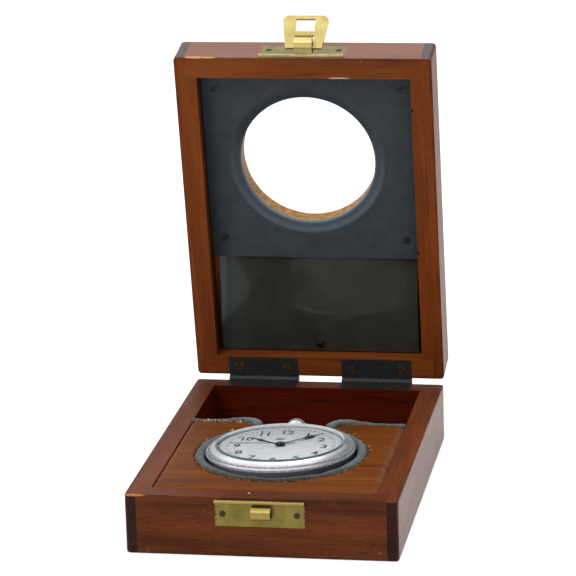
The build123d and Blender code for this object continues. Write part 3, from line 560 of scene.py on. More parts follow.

# %% [markdown]
# ## The sight plate
#
# The plate in the lid is dark slate-grey sheet, matt, with soft clouds and a fine grit. Its edge
# round the hole is a little brighter all round, and a painted highlight makes it brighter still on its
# lower side, towards the hinges; the far edge of the slope round it has only that painted highlight.
# The slope has painted shade on its upper side and painted light on its lower side.

# %% The slate-grey plate
material, tree, shader, point = start_finish("slate_sheet", lid_space, Specular_IOR_Level=0.3)
patches = use(tree, "mottle", {"Vector": point, "Size": 6 * mm})
body = blend(tree, patches["Clouds"], colour(35, 43, 48), colour(50, 58, 64))
body = wash(tree, body, patches["Grit"], 0.35, (34, 42, 46))
lines = use(tree, "scratches", {"Vector": point, "Amount": 0.4})
body = wash(tree, body, lines["Lines"], 0.15, (100, 112, 120))
hole = {"Vector": point, "Centre": sight_centre}
# the ring at the hole's edge: a little paler all round, with a painted highlight on its lower side
rubbed_and_lit_rim = use(tree, "ring", {**hole, "Radius": 23.9 * mm, "Width": 0.7 * mm})
outer = use(tree, "ring", {**hole, "Radius": 26.8 * mm, "Width": 1.3 * mm})
# low_side grows towards the hinges; it sets where the painted highlights and the slope's painted light fall
low_side = stretch(tree, along_axes(tree, point)[1], -95 * mm, -66 * mm, 0, 1)
body = wash(tree, body, rubbed_and_lit_rim["Band"], stretch(tree, low_side, 0, 1, 0.12, 0.55), (132, 150, 158))
body = wash(tree, body, outer["Band"], stretch(tree, low_side, 0, 1, 0.0, 0.24), (112, 130, 140))
# the slope round the hole: painted shade on its upper side, painted light on its lower side
slope = sum_up(tree, "MULTIPLY", sum_up(tree, "SUBTRACT", 1.0, outer["Band"]), outer["Inside"])
slope_shade_and_highlight = blend(tree, low_side, colour(24, 29, 36), colour(84, 100, 112))
slope_share = sum_up(tree, "MULTIPLY", slope, stretch(tree, low_side, 0, 1, 0.5, 0.2))
body = blend(tree, slope_share, body, slope_shade_and_highlight)
feed(tree, shader, Base_Color=body, Roughness=stretch(tree, patches["Grit"], 0, 1, 0.5, 0.68))
bump(tree, shader, patches["Grit"], 0.04 * mm)
dress(material, "sight_plate")

# %% [markdown]
# ## Old metal
#
# Screws, hinges and latch are old brass and blackened iron. One recipe makes them all: two colours
# in clouds of tarnish, fine scratches, and a little relief. The front edge of the latch's nose gets a
# painted highlight of paler brass.

# %% The metals of the box
def old_metal(name, dark, light, rough, metallic=1.0, size=1.2 * mm, relief=1.0, scratched=0.3):
    """Metal with cloudy tarnish, a little grit and fine scratches."""
    material, tree, shader, point = start_finish(name, Metallic=metallic)
    patches = use(tree, "mottle", {"Vector": point, "Size": size})
    body = blend(tree, patches["Clouds"], colour(*dark), colour(*light))
    lines = use(tree, "scratches", {"Vector": point, "Scale": 3.0, "Amount": 0.6})
    body = wash(tree, body, lines["Lines"], scratched, light)
    uneven = stretch(tree, patches["Clouds"], 0, 1, rough - 0.06, rough + 0.08)
    feed(tree, shader, Base_Color=body, Roughness=uneven)
    bump(tree, shader, patches["Grit"], 0.02 * mm * relief)
    return material


dress(old_metal("dark_screws", (26, 28, 30), (64, 64, 62), 0.45), "sight_plate_screws")
dress(old_metal("window_screw", (20, 13, 11), (52, 34, 26), 0.55), "card_window_screw")
dress(old_metal("leaf_screws", (70, 48, 32), (150, 116, 74), 0.4), "base_leaf_screws", "lid_leaf_screws")
dress(old_metal("latch_screws", (24, 20, 12), (74, 64, 36), 0.4, metallic=0.7),
      "catch_plate_screws", "hasp_plate_screws")
bright_brass = old_metal("bright_brass", (172, 154, 96), (188, 170, 110), 0.3, size=8 * mm, relief=0.1)
dress(bright_brass, "hasp")
dress(old_metal("worn_brass", (122, 110, 70), (156, 142, 96), 0.34, size=4 * mm, relief=0.3), "hasp_plate")
dull_brass = old_metal("dull_brass", (96, 84, 42), (126, 112, 58), 0.36, size=5 * mm, relief=0.3)
# painted highlight: paler brass on the front edge of the catch plate's nose
paint_over(dull_brass, base_space, [(1, -126.2, -126.5, 0.0, 0.45)], (172, 144, 84))
dress(dull_brass, "catch_plate")
hinge_black = old_metal("hinge_black", (16, 17, 19), (36, 38, 40), 0.55, metallic=0.3)
dress(hinge_black, "left_hinge_base_leaf", "right_hinge_base_leaf", "left_hinge_lid_leaf",
      "right_hinge_lid_leaf", "hinge_pins")

# %% [markdown]
# ## The card and its clear sheet
#
# The card below the sight plate is blank here, and nearly black-olive. All that the clear sheet
# over it shows is that dark card, so the sheet is drawn as a dark, smooth, glossy surface, which
# costs less than rays that pass through it. A bluish reflection is painted along its left side.

# %% The card and its window
material, tree, shader, point = start_finish("old_card", lid_space, Specular_IOR_Level=0.1, Roughness=0.9)
patches = use(tree, "mottle", {"Vector": point, "Size": 9 * mm})
feed(tree, shader, Base_Color=blend(tree, patches["Clouds"], colour(30, 28, 20), colour(44, 42, 32)))
dress(material, "rating_card")

clear_sheet, tree, shader, point = start_finish("clear_sheet", lid_space, IOR=1.49, Specular_IOR_Level=0.17)
patches = use(tree, "mottle", {"Vector": point, "Size": 12 * mm})
body = blend(tree, patches["Clouds"], colour(40, 40, 36), colour(52, 52, 46))
# painted reflection: a bluish wash towards the sheet's left edge, and a bluish spot on that side
sideways = along_axes(tree, point)[0]
body = blend(tree, stretch(tree, sideways, -37 * mm, -24 * mm, 0.4, 0.0), body, colour(62, 74, 82))
left_reflection = {"Centre": Vector((-35.4, -46, 8)) * mm, "Reach": Vector((2.2, 26, 20)) * mm, "Ragged": 0.3}
body = wash(tree, body, use(tree, "spot", {"Vector": point, **left_reflection})["Spot"], 0.7, (78, 98, 112))
feed(tree, shader, Base_Color=body, Roughness=stretch(tree, patches["Grit"], 0, 1, 0.06, 0.12))
dress(clear_sheet, "card_window")

# %% [markdown]
# ## The watch's metal, dial and glass
#
# The case is polished steel-white metal, greyer towards its sides, and with a painted shade low
# down. The dial is cool off-white, with the faintest clouding. The crystal is a glass dome. It is
# real glass in the shader: a ray bends as it goes in.

# %% Watch finishes
watch_metal = old_metal(
    "watch_case", (226, 228, 233), (238, 240, 244), 0.24, metallic=0.4, size=12 * mm, relief=0.05,
    scratched=0.0)
paint_over(watch_metal, watch_space, [(0, 13, 23, 0.0, 0.85), (1, -12, 16, 1.0, 0.75)], (104, 118, 128))
# painted shade: the case darkens low down, below about 1.6 mm up the watch's axis
paint_over(watch_metal, watch_space, [(2, 1.0, 1.6, 0.9, 0.0)], (84, 90, 100))
dress(watch_metal, "case_middle", "case_back", "bezel", "pendant", "bow")
watch_steel = old_metal("watch_steel", (120, 122, 126), (170, 172, 176), 0.25)
dress(watch_steel, "hand_arbor", "winding_stem")
dress(old_metal("movement_brass", (150, 132, 84), (196, 176, 120), 0.3, size=2 * mm), "movement")
dress(old_metal("blued_hands", (24, 28, 40), (44, 50, 66), 0.3, metallic=0.7),
      "hour_hand", "minute_hand", "seconds_hand")

material, tree, shader, point = start_finish("dial_enamel", watch_space, Specular_IOR_Level=0.4)
patches = use(tree, "mottle", {"Vector": point, "Size": 8 * mm})
feed(tree, shader, Base_Color=blend(tree, patches["Clouds"], colour(232, 238, 240), colour(242, 246, 247)),
     Roughness=stretch(tree, patches["Grit"], 0, 1, 0.35, 0.45))
dress(material, "dial")

material, tree, shader, point = start_finish("crystal_glass", watch_space, Transmission_Weight=1.0, IOR=1.4)
patches = use(tree, "mottle", {"Vector": point, "Size": 10 * mm})
feed(tree, shader, Roughness=stretch(tree, patches["Clouds"], 0, 1, 0.0, 0.02),
     Base_Color=blend(tree, patches["Clouds"], colour(250, 252, 254), colour(255, 255, 255)))
dress(material, "crystal")
print("finishes so far:", len(bpy.data.materials))

# %% [markdown]
# ## Felt round the well
#
# One strip of blue-grey felt lines the well, turns out through the neck, and runs along the block's
# rear face to both side walls. A CAD solid of it has sharp corners, and felt has none. Here the
# strip's section, with a round top, is carried along the block's own outline. Noise then makes the
# lip wavy and the nap uneven. The path is a list of points, each with the direction from the block
# into the opening.

# %% The line that the felt follows
well_middle = Vector((-0.5, -18.6))
well_radius, neck_half, block_rear, horn_round = 29.0, 14.2, 12.5, 5.0
felt_thick, block_top, well_bottom, box_floor, inner_half = 3.2, 21.0, 8.5, 4.0, 37.4
felt_step = 0.4


def arc(middle, radius, start, end, felt_side=1):
    """Points on an arc, with the direction in which the felt lies; angles in degrees."""
    reach = radius + felt_thick if felt_side > 0 else radius
    count = max(3, round(abs(math.radians(end - start)) * reach / felt_step))
    found = []
    for i in range(count + 1):
        angle = math.radians(start + (end - start) * i / count)
        ray = Vector((math.cos(angle), math.sin(angle)))
        found.append((middle + ray * radius, ray * felt_side))
    return found


def straight(start, end, facing):
    """Points on a straight run, with the direction in which the felt lies."""
    count = max(1, round((Vector(end) - Vector(start)).length / felt_step))
    return [(Vector(start).lerp(Vector(end), i / count), Vector(facing)) for i in range(count + 1)]


def mirrored(run):
    """A run on the left of the well, seen in a mirror and followed the other way."""
    flipped = [(Vector((2 * well_middle.x - p.x, p.y)), Vector((-n.x, n.y))) for p, n in run]
    return flipped[::-1]


neck_angle = math.degrees(math.acos(neck_half / well_radius))
corner_y = well_middle.y + well_radius * math.sin(math.radians(neck_angle))
neck_x = well_middle.x - neck_half
horn_middle = Vector((neck_x - horn_round, block_rear - horn_round))
corner = Vector((neck_x, corner_y))
left_rear = straight((-inner_half, block_rear), (horn_middle.x, block_rear), (0, 1))
left_neck = (arc(horn_middle, horn_round, 90, 0) + straight((neck_x, horn_middle.y), corner, (1, 0))
             + arc(corner, 0.0, 0, -neck_angle))
round_well = arc(well_middle, well_radius, 180 - neck_angle, 360 + neck_angle, felt_side=-1)
right_neck = mirrored(left_neck)
right_rear = straight((right_neck[-1][0].x, block_rear), (inner_half, block_rear), (0, 1))
felt_line = left_rear + left_neck + round_well + right_neck + right_rear
print("points along the felt:", len(felt_line))

# %% Helpers that close a mesh and keep it
def seal(mesh, merge=0.0, split_caps=False):
    """Joins points that lie closer than a distance in metres, and turns the faces outwards."""
    shape = bmesh.new()
    shape.from_mesh(mesh)
    if merge:
        bmesh.ops.remove_doubles(shape, verts=shape.verts, dist=merge)
    if split_caps:
        bmesh.ops.triangulate(shape, faces=[face for face in shape.faces if len(face.verts) > 4])
    bmesh.ops.recalc_face_normals(shape, faces=shape.faces)
    shape.to_mesh(mesh)
    shape.free()


def keep_mesh(name, mesh, body, stands_for=(), finish=None):
    """A finished piece at the origin that rides on a body."""
    item = bpy.data.objects.new(name, mesh)
    scene.collection.objects.link(item)
    if finish is not None and not mesh.materials:
        mesh.materials.append(finish)
    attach(item, body)
    if stands_for:
        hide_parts(*stands_for)
    return item


# %% The felt strip
fuzz_shifts = [Vector(shift) for shift in ((0, 0, 0), (31.7, 5.3, 11.9), (7.1, 43.3, 23.7))]


def fuzz(point, size, amount):
    """A small push in millimetres, the same each time for the same point.

    It reads plain noise at three places, because the vector noise changes with each start of Blender.
    """
    return Vector([noise.noise(Vector(point) / size + shift) for shift in fuzz_shifts]) * amount


def felt_top(point):
    """How high the felt's lip stands at a place along its line, in millimetres."""
    if point.y > horn_middle.y:
        near_neck = 1 - min(1, max(0, abs(point.x - well_middle.x) - neck_half - 1) / 12)
        return block_top + 0.1 + 1.5 * near_neck
    return block_top + 0.75


lip_round = 1.2
loose_from, loose_over, wall_reach = 14, 6, 37.3
felt_section = [(0.0, h / 10) for h in range(10)]
felt_section += [
    (felt_thick / 2 * (1 - math.cos(math.radians(a))), 1.0 + math.sin(math.radians(a)))
    for a in range(15, 180, 15)
]
felt_section += [(felt_thick, h / 10) for h in range(9, 0, -1)] + [(felt_thick, 0.0), (felt_thick / 2, 0.0)]
felt_points, felt_faces = [], []
for spot, inward in felt_line:
    past_horn = abs(spot.x - well_middle.x) > neck_half + horn_round - 0.01
    foot = box_floor if past_horn and inward.y > 0.99 else well_bottom
    crest = felt_top(spot) - lip_round
    for across, up in felt_section:
        height = foot + (crest - foot) * min(up, 1.0) + max(0.0, up - 1.0) * lip_round
        place = Vector((*(spot + inward * across), height))
        loose = min(1.0, max(0.0, (height - loose_from) / loose_over))
        place += (fuzz(place, 6.0, 0.22 * loose) + fuzz(place, 1.3, 0.2 * loose)
                  + fuzz(place, 0.5, 0.12 * loose))
        place.x = min(max(place.x, -wall_reach), wall_reach)
        felt_points.append(place * mm)
ring = len(felt_section)
for i in range(len(felt_line) - 1):
    for j in range(ring):
        a, b = i * ring + j, i * ring + (j + 1) % ring
        felt_faces.append((a, b, b + ring, a + ring))
felt_faces.append(tuple(range(ring))[::-1])
felt_faces.append(tuple((len(felt_line) - 1) * ring + j for j in range(ring)))
felt_mesh = bpy.data.meshes.new("felt_strip")
felt_mesh.from_pydata(felt_points, [], felt_faces)
seal(felt_mesh, merge=0.002 * mm)
felt_mesh.shade_smooth()
print("felt strip:", len(felt_mesh.polygons), "faces")

# %% [markdown]
# ## The look of felt
#
# Felt is short fibre pressed together: dull, speckled, and a little furry at the rim, where the lip
# has faded. The speckle is fine noise, the fade follows height, and a sheen stands in for the fur.
# Deep in the well a painted shade darkens it, and near the box's front it is browner.

# %% The felt's finish
felt_cloth, tree, shader, point = start_finish(
    "grey_felt", Sheen_Weight=0.25, Specular_IOR_Level=0.1, Roughness=1.0)
speckle = use(tree, "mottle", {"Vector": point, "Size": 3.5 * mm})
body = blend(tree, speckle["Clouds"], colour(42, 48, 54), colour(72, 80, 88))
body = wash(tree, body, speckle["Grit"], 0.4, (104, 108, 106))
axes = along_axes(tree, point)
# painted shade deep in the well and the neck, below the block's top; the next line pales the faded lip
body = blend(tree, stretch(tree, axes[2], 18.5 * mm, 20.8 * mm, 0.7, 0.0), body, colour(22, 25, 30))
body = blend(tree, stretch(tree, axes[2], 21.4 * mm, 22.6 * mm, 0.0, 0.5), body, colour(128, 134, 130))
body = blend(tree, stretch(tree, axes[1], -47 * mm, -30 * mm, 0.8, 0.0), body, colour(40, 34, 26))
feed(tree, shader, Base_Color=body)
fur = put(tree, "ShaderNodeTexNoise", {"Vector": point, "Scale": 5200.0, "Detail": 3.0}).outputs["Fac"]
bump(tree, shader, fur, 0.22 * mm)
felt_strip = keep_mesh("felt_strip", felt_mesh, "base", ("block_felt",), felt_cloth)

# %% [markdown]
# ## The pad under the watch
#
# The pad is a disc of the same felt with a crowned top. It is turned: a line of points, each with a
# radius and a height, is swept round an axis. The same helper turns the crown later, and with a
# profile that closes on itself it makes a ring.

# %% Turned pieces, and the pad
def turned(name, profile, count, space, finish, closed=False):
    """A round piece from a list of (radius, height) in millimetres, placed by a matrix."""
    shape = bmesh.new()
    rings = []
    for radius, height in profile:
        angles = [2 * math.pi * i / count for i in range(count if radius else 1)]
        rings.append([
            shape.verts.new((radius * mm * math.cos(a), radius * mm * math.sin(a), height * mm))
            for a in angles])
    following = rings[1:] + rings[:1] if closed else rings[1:]
    for first, second in zip(rings, following):
        for i in range(count):
            j = (i + 1) % count
            if len(first) == 1:
                shape.faces.new((first[0], second[i], second[j]))
            elif len(second) == 1:
                shape.faces.new((first[i], second[0], first[j]))
            else:
                shape.faces.new((first[i], second[i], second[j], first[j]))
    bmesh.ops.recalc_face_normals(shape, faces=shape.faces)
    mesh = bpy.data.meshes.new(name)
    shape.to_mesh(mesh)
    shape.free()
    mesh.transform(space)
    mesh.materials.append(finish)
    return mesh


pad_low, pad_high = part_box("well_pad")
pad_radius = (pad_high.x - pad_low.x) / 2 / mm
pad_thick = (pad_high.z - pad_low.z) / mm
pad_middle = Vector((pad_low.x + pad_radius * mm, pad_low.y + pad_radius * mm, pad_low.z))
pad_shares = ((0.0, 1.0), (0.3, 1.0), (0.6, 0.98), (0.85, 0.93), (0.96, 0.8), (1.0, 0.5), (0.98, 0.1),
              (0.9, 0.0), (0.0, 0.0))
pad_profile = [(share * pad_radius, rise * pad_thick) for share, rise in pad_shares]
pad_mesh = turned("felt_pad", pad_profile, 96, Matrix.Translation(pad_middle), felt_cloth)
pad_mesh.shade_smooth()
felt_pad = keep_mesh("felt_pad", pad_mesh, "base", ("well_pad",))
print("pad radius in mm:", round(pad_radius, 2))

# %% [markdown]
# ## Rings of small blocks with Geometry Nodes
#
# The bezel and the case shoulder are milled, the crown is ribbed, and the dial has sixty ticks. All
# of these are the same idea: one small block, repeated round a circle and turned to face outwards. A
# Geometry Nodes tree does it with named inputs, so one tree makes them all. It ends by making the
# copies real, because an exporter doesn't keep instances.

# %% Helpers for a tree that makes a mesh
def mesh_tree(name, inputs):
    """A Geometry Nodes tree with named inputs, and the sockets that they come in by."""
    tree = bpy.data.node_groups.new(name, "GeometryNodeTree")
    tree.is_modifier = True
    tree.interface.new_socket("Geometry", in_out="OUTPUT", socket_type="NodeSocketGeometry")
    for label, kind in inputs.items():
        tree.interface.new_socket(label, in_out="INPUT", socket_type="NodeSocket" + kind)
    return tree, put(tree, "NodeGroupInput").outputs


def end_tree(tree, copies, finish):
    """Makes a tree's copies real, gives them a material and puts them out."""
    solid = put(tree, "GeometryNodeRealizeInstances", {0: copies.outputs[0]})
    painted = put(tree, "GeometryNodeSetMaterial", {"Geometry": solid.outputs[0], "Material": finish})
    put(tree, "NodeGroupOutput", {0: painted.outputs[0]})


def run_tree(name, tree, inputs, space=None, start=None):
    """Runs a Geometry Nodes tree on a mesh and returns what it makes as a plain mesh in its place."""
    holder = bpy.data.objects.new(name + "_holder", start or bpy.data.meshes.new(name + "_start"))
    scene.collection.objects.link(holder)
    step = holder.modifiers.new("make", "NODES")
    step.node_group = tree
    for item in tree.interface.items_tree:
        if item.item_type == "SOCKET" and item.in_out == "INPUT" and item.name in inputs:
            step[item.identifier] = inputs[item.name]
    ready = holder.evaluated_get(bpy.context.evaluated_depsgraph_get())
    mesh = bpy.data.meshes.new_from_object(ready)
    mesh.name = name
    holder.modifiers.clear()
    bpy.data.objects.remove(holder)
    if space is not None:
        mesh.transform(space)
    return mesh


# %% The ring tree
ring_tree, given = mesh_tree(
    "ring_of_blocks", {"Count": "Int", "Radius": "Float", "Block Size": "Vector", "Finish": "Material"})
circle = put(ring_tree, "GeometryNodeMeshCircle", {"Vertices": given["Count"], "Radius": given["Radius"]})
block = put(ring_tree, "GeometryNodeMeshCube", {"Size": given["Block Size"]})
place = put(ring_tree, "GeometryNodeInputPosition")
facing = put(ring_tree, "FunctionNodeAlignRotationToVector", {"Vector": place.outputs[0]}, axis="Y")
copies = put(ring_tree, "GeometryNodeInstanceOnPoints", {
    "Points": circle.outputs[0], "Instance": block.outputs["Mesh"], "Rotation": facing.outputs[0]})
end_tree(ring_tree, copies, given["Finish"])

# %% [markdown]
# ## Milled edges and ticks
#
# The milling on the bezel's edge and on the shoulder of the case catches the light in a row of
# bright dashes. Each rib stands about a fifth of a millimetre proud. The ticks are flat blocks on
# the dial, one for each minute, with a wider one at each five.

# %% Milled rings and dial ticks
def at_height(height):
    """The watch's frame, moved up along the dial's own axis by a height in millimetres."""
    return watch_space @ Matrix.Translation((0, 0, height * mm))


def ring_piece(name, count, radius, size, height, finish):
    """A ring of blocks round the watch's axis, in millimetres."""
    mesh = run_tree(name, ring_tree, {
        "Count": count, "Radius": radius * mm, "Block Size": [s * mm for s in size], "Finish": finish,
    }, at_height(height))
    keep_mesh(name, mesh, "watch")
    print(name, len(mesh.polygons), "faces")


dial_ink = old_metal("dial_ink", (30, 34, 44), (52, 58, 70), 0.5, metallic=0.0)
milling_metal = old_metal(
    "milling_metal", (214, 216, 222), (236, 238, 242), 0.25, metallic=0.6, relief=0.05, scratched=0.0)
ring_piece("bezel_milling", 200, 24.4, (0.44, 0.46, 0.5), 2.8, milling_metal)
ring_piece("shoulder_milling", 200, 25.0, (0.44, 0.46, 0.5), 1.75, milling_metal)
ring_piece("minute_ticks", 60, 18.1, (0.2, 0.9, 0.03), 2.76, dial_ink)
ring_piece("five_minute_ticks", 12, 18.0, (0.42, 1.2, 0.034), 2.762, dial_ink)

# %% [markdown]
# ## The ribbed crown
#
# The crown is a small button with a rounded top and ribs round its side. The body is a turned
# profile with a bore for the stem, and the ribs are a ring of blocks from the same tree.

# %% The crown
crown_foot = Matrix.Translation(Vector((0, 29.85, -0.3)) * mm)
crown_space = watch_space @ crown_foot @ Matrix.Rotation(math.radians(-90), 4, "X")
crown_bore = [(0, 2.55), (1.02, 2.55), (1.02, 0.0)]
crown_outside = [(2.9, 0.0), (3.25, 0.15), (3.3, 0.4), (3.3, 2.9), (3.2, 3.2), (2.9, 3.5), (2.4, 3.62),
                 (1.6, 3.68), (0, 3.7)]
crown_metal = old_metal(
    "crown_metal", (196, 196, 190), (228, 228, 222), 0.28, metallic=0.6, size=4 * mm, relief=0.1)
crown_body = turned("crown_body", crown_bore + crown_outside, 72, crown_space, crown_metal)
crown_ribs = run_tree("crown_ribs", ring_tree, {
    "Count": 26, "Radius": 3.27 * mm, "Block Size": [0.38 * mm, 0.46 * mm, 2.5 * mm], "Finish": crown_metal,
}, crown_space @ Matrix.Translation((0, 0, 1.65 * mm)))
keep_mesh("crown_body", crown_body, "crown", ("crown",))
keep_mesh("crown_ribs", crown_ribs, "crown")
for polygon in crown_body.polygons:
    polygon.use_smooth = abs(polygon.normal.dot(crown_space.col[2].xyz)) < 0.98
print("crown ribs:", len(crown_ribs.polygons), "faces")

# %% [markdown]
# ## The curl of the hasp's eye
#
# The strip that holds the hasp's bar is hammered into a tall loop. The loop's outline is a circle
# round the bar that bulges away from the plate, drawn in the lid's frame and pushed out sideways.

# %% The loop
bar_middle, loop_half_width = Vector((0.5, -128.1, 3.5)), 3.1
loop_inside, loop_outside, loop_bulge = 1.95, 2.12, 1.6
outline = []
for degrees in range(-85, 120, 5):
    angle = math.radians(degrees)
    radius = loop_outside + loop_bulge * max(0.0, math.cos(angle)) ** 1.4
    outline.append((-radius * math.cos(angle), radius * math.sin(angle)))
for degrees in range(115, -90, -10):
    angle = math.radians(degrees)
    outline.append((-loop_inside * math.cos(angle), loop_inside * math.sin(angle)))
loop_points = [
    (bar_middle + Vector((side * loop_half_width, y, z))) * mm for side in (-1, 1) for y, z in outline]
count = len(outline)
loop_faces = [(i, (i + 1) % count, (i + 1) % count + count, i + count) for i in range(count)]
loop_mesh = bpy.data.meshes.new("eye_loop")
loop_mesh.from_pydata(loop_points, [], loop_faces + [tuple(range(count)), tuple(range(count, 2 * count))])
seal(loop_mesh, split_caps=True)
loop_mesh.transform(lid_space)
keep_mesh("eye_loop", loop_mesh, "lid", finish=bright_brass)
print("loop:", len(loop_mesh.polygons), "faces")

# %% [markdown]
# ## The clear sheet leans out
#
# The sheet over the card is slid in flat under the sight plate, and its lower end stands away from
# the card. A slab is drawn in short steps along the lid, and each step is lifted by a smooth curve.
# The screw at its lower end stands as far out.

# %% The bent sheet and its screw
lean_start, lean_end, lean_lift = -46.0, -14.0, 3.6
sheet_low, sheet_high = Vector((-35.8, -48.7, 8.4)), Vector((35.8, -9.6, 8.9))
sheet_points, sheet_faces = [], []
steps = 32
for i in range(steps + 1):
    y = sheet_low.y + (sheet_high.y - sheet_low.y) * i / steps
    share = min(1.0, max(0.0, (y - lean_start) / (lean_end - lean_start)))
    lift = lean_lift * share * share * (3 - 2 * share)
    for x, z in ((sheet_low.x, sheet_low.z), (sheet_high.x, sheet_low.z),
                 (sheet_high.x, sheet_high.z), (sheet_low.x, sheet_high.z)):
        sheet_points.append(Vector((x, y, z - lift)) * mm)
for i in range(steps):
    for j in range(4):
        k = (j + 1) % 4
        sheet_faces.append((4 * i + j, 4 * i + k, 4 * i + 4 + k, 4 * i + 4 + j))
sheet_faces += [(3, 2, 1, 0), tuple(4 * steps + j for j in range(4))]
sheet_mesh = bpy.data.meshes.new("bent_sheet")
sheet_mesh.from_pydata(sheet_points, [], sheet_faces)
sheet_mesh.transform(lid_space)
screw_mesh = nodes["card_window_screw"].data.copy()
screw_mesh.name = "sheet_screw"
for mesh in (sheet_mesh, screw_mesh):
    seal(mesh, merge=0.001 * mm)
screw_mesh.transform(Matrix.Translation(lid_space.to_3x3() @ Vector((0, 0, -lean_lift * mm))))
keep_mesh("bent_sheet", sheet_mesh, "lid", ("card_window",), clear_sheet)
keep_mesh("sheet_screw", screw_mesh, "lid", ("card_window_screw",))
print("sheet:", len(sheet_mesh.polygons), "faces; screw:", len(screw_mesh.polygons), "faces")

# %% [markdown]
# ## Grooves behind the milling, and the crystal's edge
#
# Between the ribs the milled grooves are dark: a thin band of painted shade behind each row of
# ribs shows in the gaps. The crystal's ground edge is a ring painted grey-green, for the tint that
# light picks up on its long way through the glass and for the shade in the gap by the bezel. On the
# far side the ring gets a painted highlight, so it is pale there.

# %% The dark bands and the glass edge
def band(name, inner, outer, low, high, finish, slope=0.0):
    """A ring with a square section round the watch, whose top may slope; all in millimetres."""
    corners = [(inner, low), (outer, low), (outer, high), (inner, high - slope)]
    keep_mesh(name, turned(name, corners, 180, watch_space, finish, closed=True), "watch")


# painted shade: dark metal bands behind the rows of milled ribs
groove_shade = old_metal(
    "groove_shade", (112, 116, 124), (140, 142, 148), 0.5, metallic=0.3, relief=0.1, scratched=0.0)
band("bezel_groove", 24.3, 24.44, 2.55, 3.05, groove_shade)
band("shoulder_groove", 24.9, 25.04, 1.5, 2.0, groove_shade)
glass_edge_shade_and_light = old_metal(
    "glass_edge_shade_and_light", (78, 94, 94), (106, 122, 120), 0.3, metallic=0.0, size=10 * mm, relief=0.05, scratched=0.0)
# painted highlight: the crystal's edge ring is pale on its far side
paint_over(glass_edge_shade_and_light, watch_space, [(1, -4, 9, 0.0, 0.9)], (214, 221, 223))
band("crystal_bevel", 21.0, 21.62, 3.9, 4.62, glass_edge_shade_and_light, slope=0.04)

# %% [markdown]
# ## Figures on the dial
#
# The hours are plain upright figures in thin lines. Blender's own font is close. Each figure is a
# text object with its digits set close together, widened a little, turned into a mesh, and laid on
# the dial.

# %% The hour figures
figure_radius, figure_height, figure_drop = 14.8, 3.7, 0.6
font_capital, figure_widen, figure_spread, figure_half_thickness = 0.70, 1.02, 0.05, 0.02
dial_face = 2.77


def figure(text, x, y, name):
    """A number as a thin mesh on the dial, centred on a point in millimetres."""
    curve = bpy.data.curves.new(name, "FONT")
    curve.body = text
    curve.align_x, curve.align_y = "CENTER", "CENTER"
    curve.size = figure_height / font_capital * mm
    curve.offset = figure_spread * mm
    curve.space_character = 0.88
    curve.extrude = figure_half_thickness * mm
    curve.resolution_u = 4
    holder = bpy.data.objects.new(name + "_holder", curve)
    scene.collection.objects.link(holder)
    mesh = bpy.data.meshes.new_from_object(holder.evaluated_get(bpy.context.evaluated_depsgraph_get()))
    bpy.data.objects.remove(holder)
    mesh.name = name
    mesh.transform(Matrix.Diagonal((figure_widen, 1, 1, 1)))
    mesh.transform(at_height(dial_face) @ Matrix.Translation((x * mm, y * mm, 0)))
    mesh.materials.clear()
    keep_mesh(name, mesh, "watch", finish=dial_ink)


for hour in range(1, 13):
    angle = math.radians(hour * 30)
    x, y = figure_radius * math.sin(angle), figure_radius * math.cos(angle) - figure_drop
    figure(str(hour), x, y, f"hour_figure_{hour}")

# %% [markdown]
# ## Crumbs of glue and chipped wood
#
# Along the felt's outer edge the block is rough with old glue and splinters. A second tree scatters
# small flakes along a line: it puts a point at every vertex, pushes each aside at random, and sets a
# lumpy flake of random size and turn on it. The seed is fixed, so the flakes stay the same.

# %% The flake tree
def random_vector(tree, low, high, seed):
    """A vector drawn at random for each point, between two others."""
    draw = {0: low, 1: high, "Seed": seed}
    return put(tree, "FunctionNodeRandomValue", draw, data_type="FLOAT_VECTOR").outputs[0]


flake_tree, given = mesh_tree("flakes_on_line", {
    "Line": "Geometry", "Flake Size": "Float", "Spread": "Vector", "Seed": "Int", "Share Kept": "Float",
    "Finish": "Material"})
back = put(flake_tree, "ShaderNodeVectorMath", {0: given["Spread"], "Scale": -1.0}, operation="SCALE")
push = random_vector(flake_tree, back.outputs[0], given["Spread"], given["Seed"])
spread = put(flake_tree, "GeometryNodeSetPosition", {"Geometry": given["Line"], "Offset": push})
flake = put(flake_tree, "GeometryNodeMeshIcoSphere", {"Radius": given["Flake Size"], "Subdivisions": 1})
keep = put(flake_tree, "FunctionNodeRandomValue", {
    "Probability": given["Share Kept"], "Seed": sum_up(flake_tree, "ADD", given["Seed"], 1),
}, data_type="BOOLEAN")
full_turn = 6.28
flakes = put(flake_tree, "GeometryNodeInstanceOnPoints", {
    "Points": spread.outputs[0], "Instance": flake.outputs["Mesh"], "Selection": keep.outputs[3],
    "Rotation": random_vector(flake_tree, (0, 0, 0), (full_turn, full_turn, full_turn), given["Seed"]),
    "Scale": random_vector(flake_tree, (0.4, 0.3, 0.2), (1.5, 1.0, 0.6), given["Seed"])})
end_tree(flake_tree, flakes, given["Finish"])


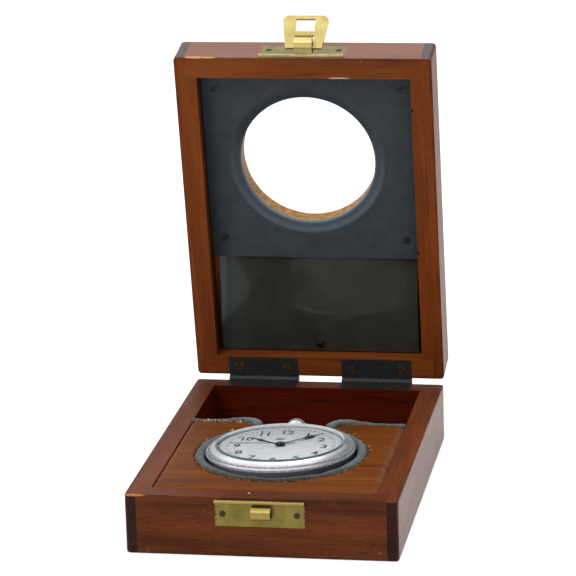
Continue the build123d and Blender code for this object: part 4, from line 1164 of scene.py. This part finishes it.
def flakes_along(name, line, size, spread, seed, share, finish):
    """Scatters flakes on the base along a list of points; all in millimetres."""
    start = bpy.data.meshes.new(name + "_line")
    start.from_pydata([Vector(p) * mm for p in line], [], [])
    mesh = run_tree(name, flake_tree, {
        "Flake Size": size * mm, "Spread": [s * mm for s in spread], "Seed": seed, "Share Kept": share,
        "Finish": finish,
    }, start=start)
    keep_mesh(name, mesh, "base")
    print(name, len(mesh.polygons), "faces")


# %% [markdown]
# The flakes are dull and mottled: dark glue, bare wood, the pale backing of the felt where it frays
# on the left, and dark chips beside the catch plate, where the wood has broken away.

# %% Glue and splinters along the felt
def plain_matt(name, dark, light, size=3 * mm):
    """A dull, mottled finish with a coarse relief."""
    material, tree, shader, point = start_finish(name, Specular_IOR_Level=0.15, Roughness=0.9)
    patches = use(tree, "mottle", {"Vector": point, "Size": size})
    feed(tree, shader, Base_Color=blend(tree, patches["Clouds"], colour(*dark), colour(*light)))
    bump(tree, shader, patches["Grit"], 0.1 * mm)
    return material


glue = plain_matt("old_glue", (34, 24, 16), (112, 88, 60))
splinters = plain_matt("bare_splinters", (110, 70, 40), (196, 158, 112))
outer_line = [(p.x - n.x * 0.4, p.y - n.y * 0.4, block_top + 0.1) for p, n in felt_line if abs(p.x) < 37]
flakes_along("glue_crumbs", outer_line, 0.4, (0.45, 0.45, 0.08), 3, 0.6, glue)
flakes_along("wood_splinters", outer_line, 0.34, (0.75, 0.75, 0.08), 8, 0.3, splinters)
fray = plain_matt("felt_backing", (150, 132, 96), (214, 200, 164))
left_horn = [spot for spot in outer_line if -35.2 < spot[0] < -20 and spot[1] > 0]
flakes_along("felt_frays", left_horn[::2], 0.6, (0.9, 0.5, 0.25), 5, 0.35, fray)
flakes_along("red_splinters", left_horn, 0.5, (0.8, 0.5, 0.1), 12, 0.5, splinters)

# %% Chips beside the catch plate
cavity = plain_matt("chipped_hole", (14, 8, 6), (44, 24, 14), size=2 * mm)
plate_low, plate_high = (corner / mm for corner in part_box("catch_plate"))
chip_step, front_face = 0.5, -62.05
chip_count = round((plate_high.z - plate_low.z - 2) / chip_step)
for side, edge in (("left", plate_low.x + 0.1), ("right", plate_high.x - 0.1)):
    upright = [(edge, front_face, plate_low.z + 0.8 + i * chip_step) for i in range(chip_count)]
    flakes_along(f"latch_chips_{side}", upright, 0.3, (0.3, 0.02, 0.2), 21, 0.6, cavity)
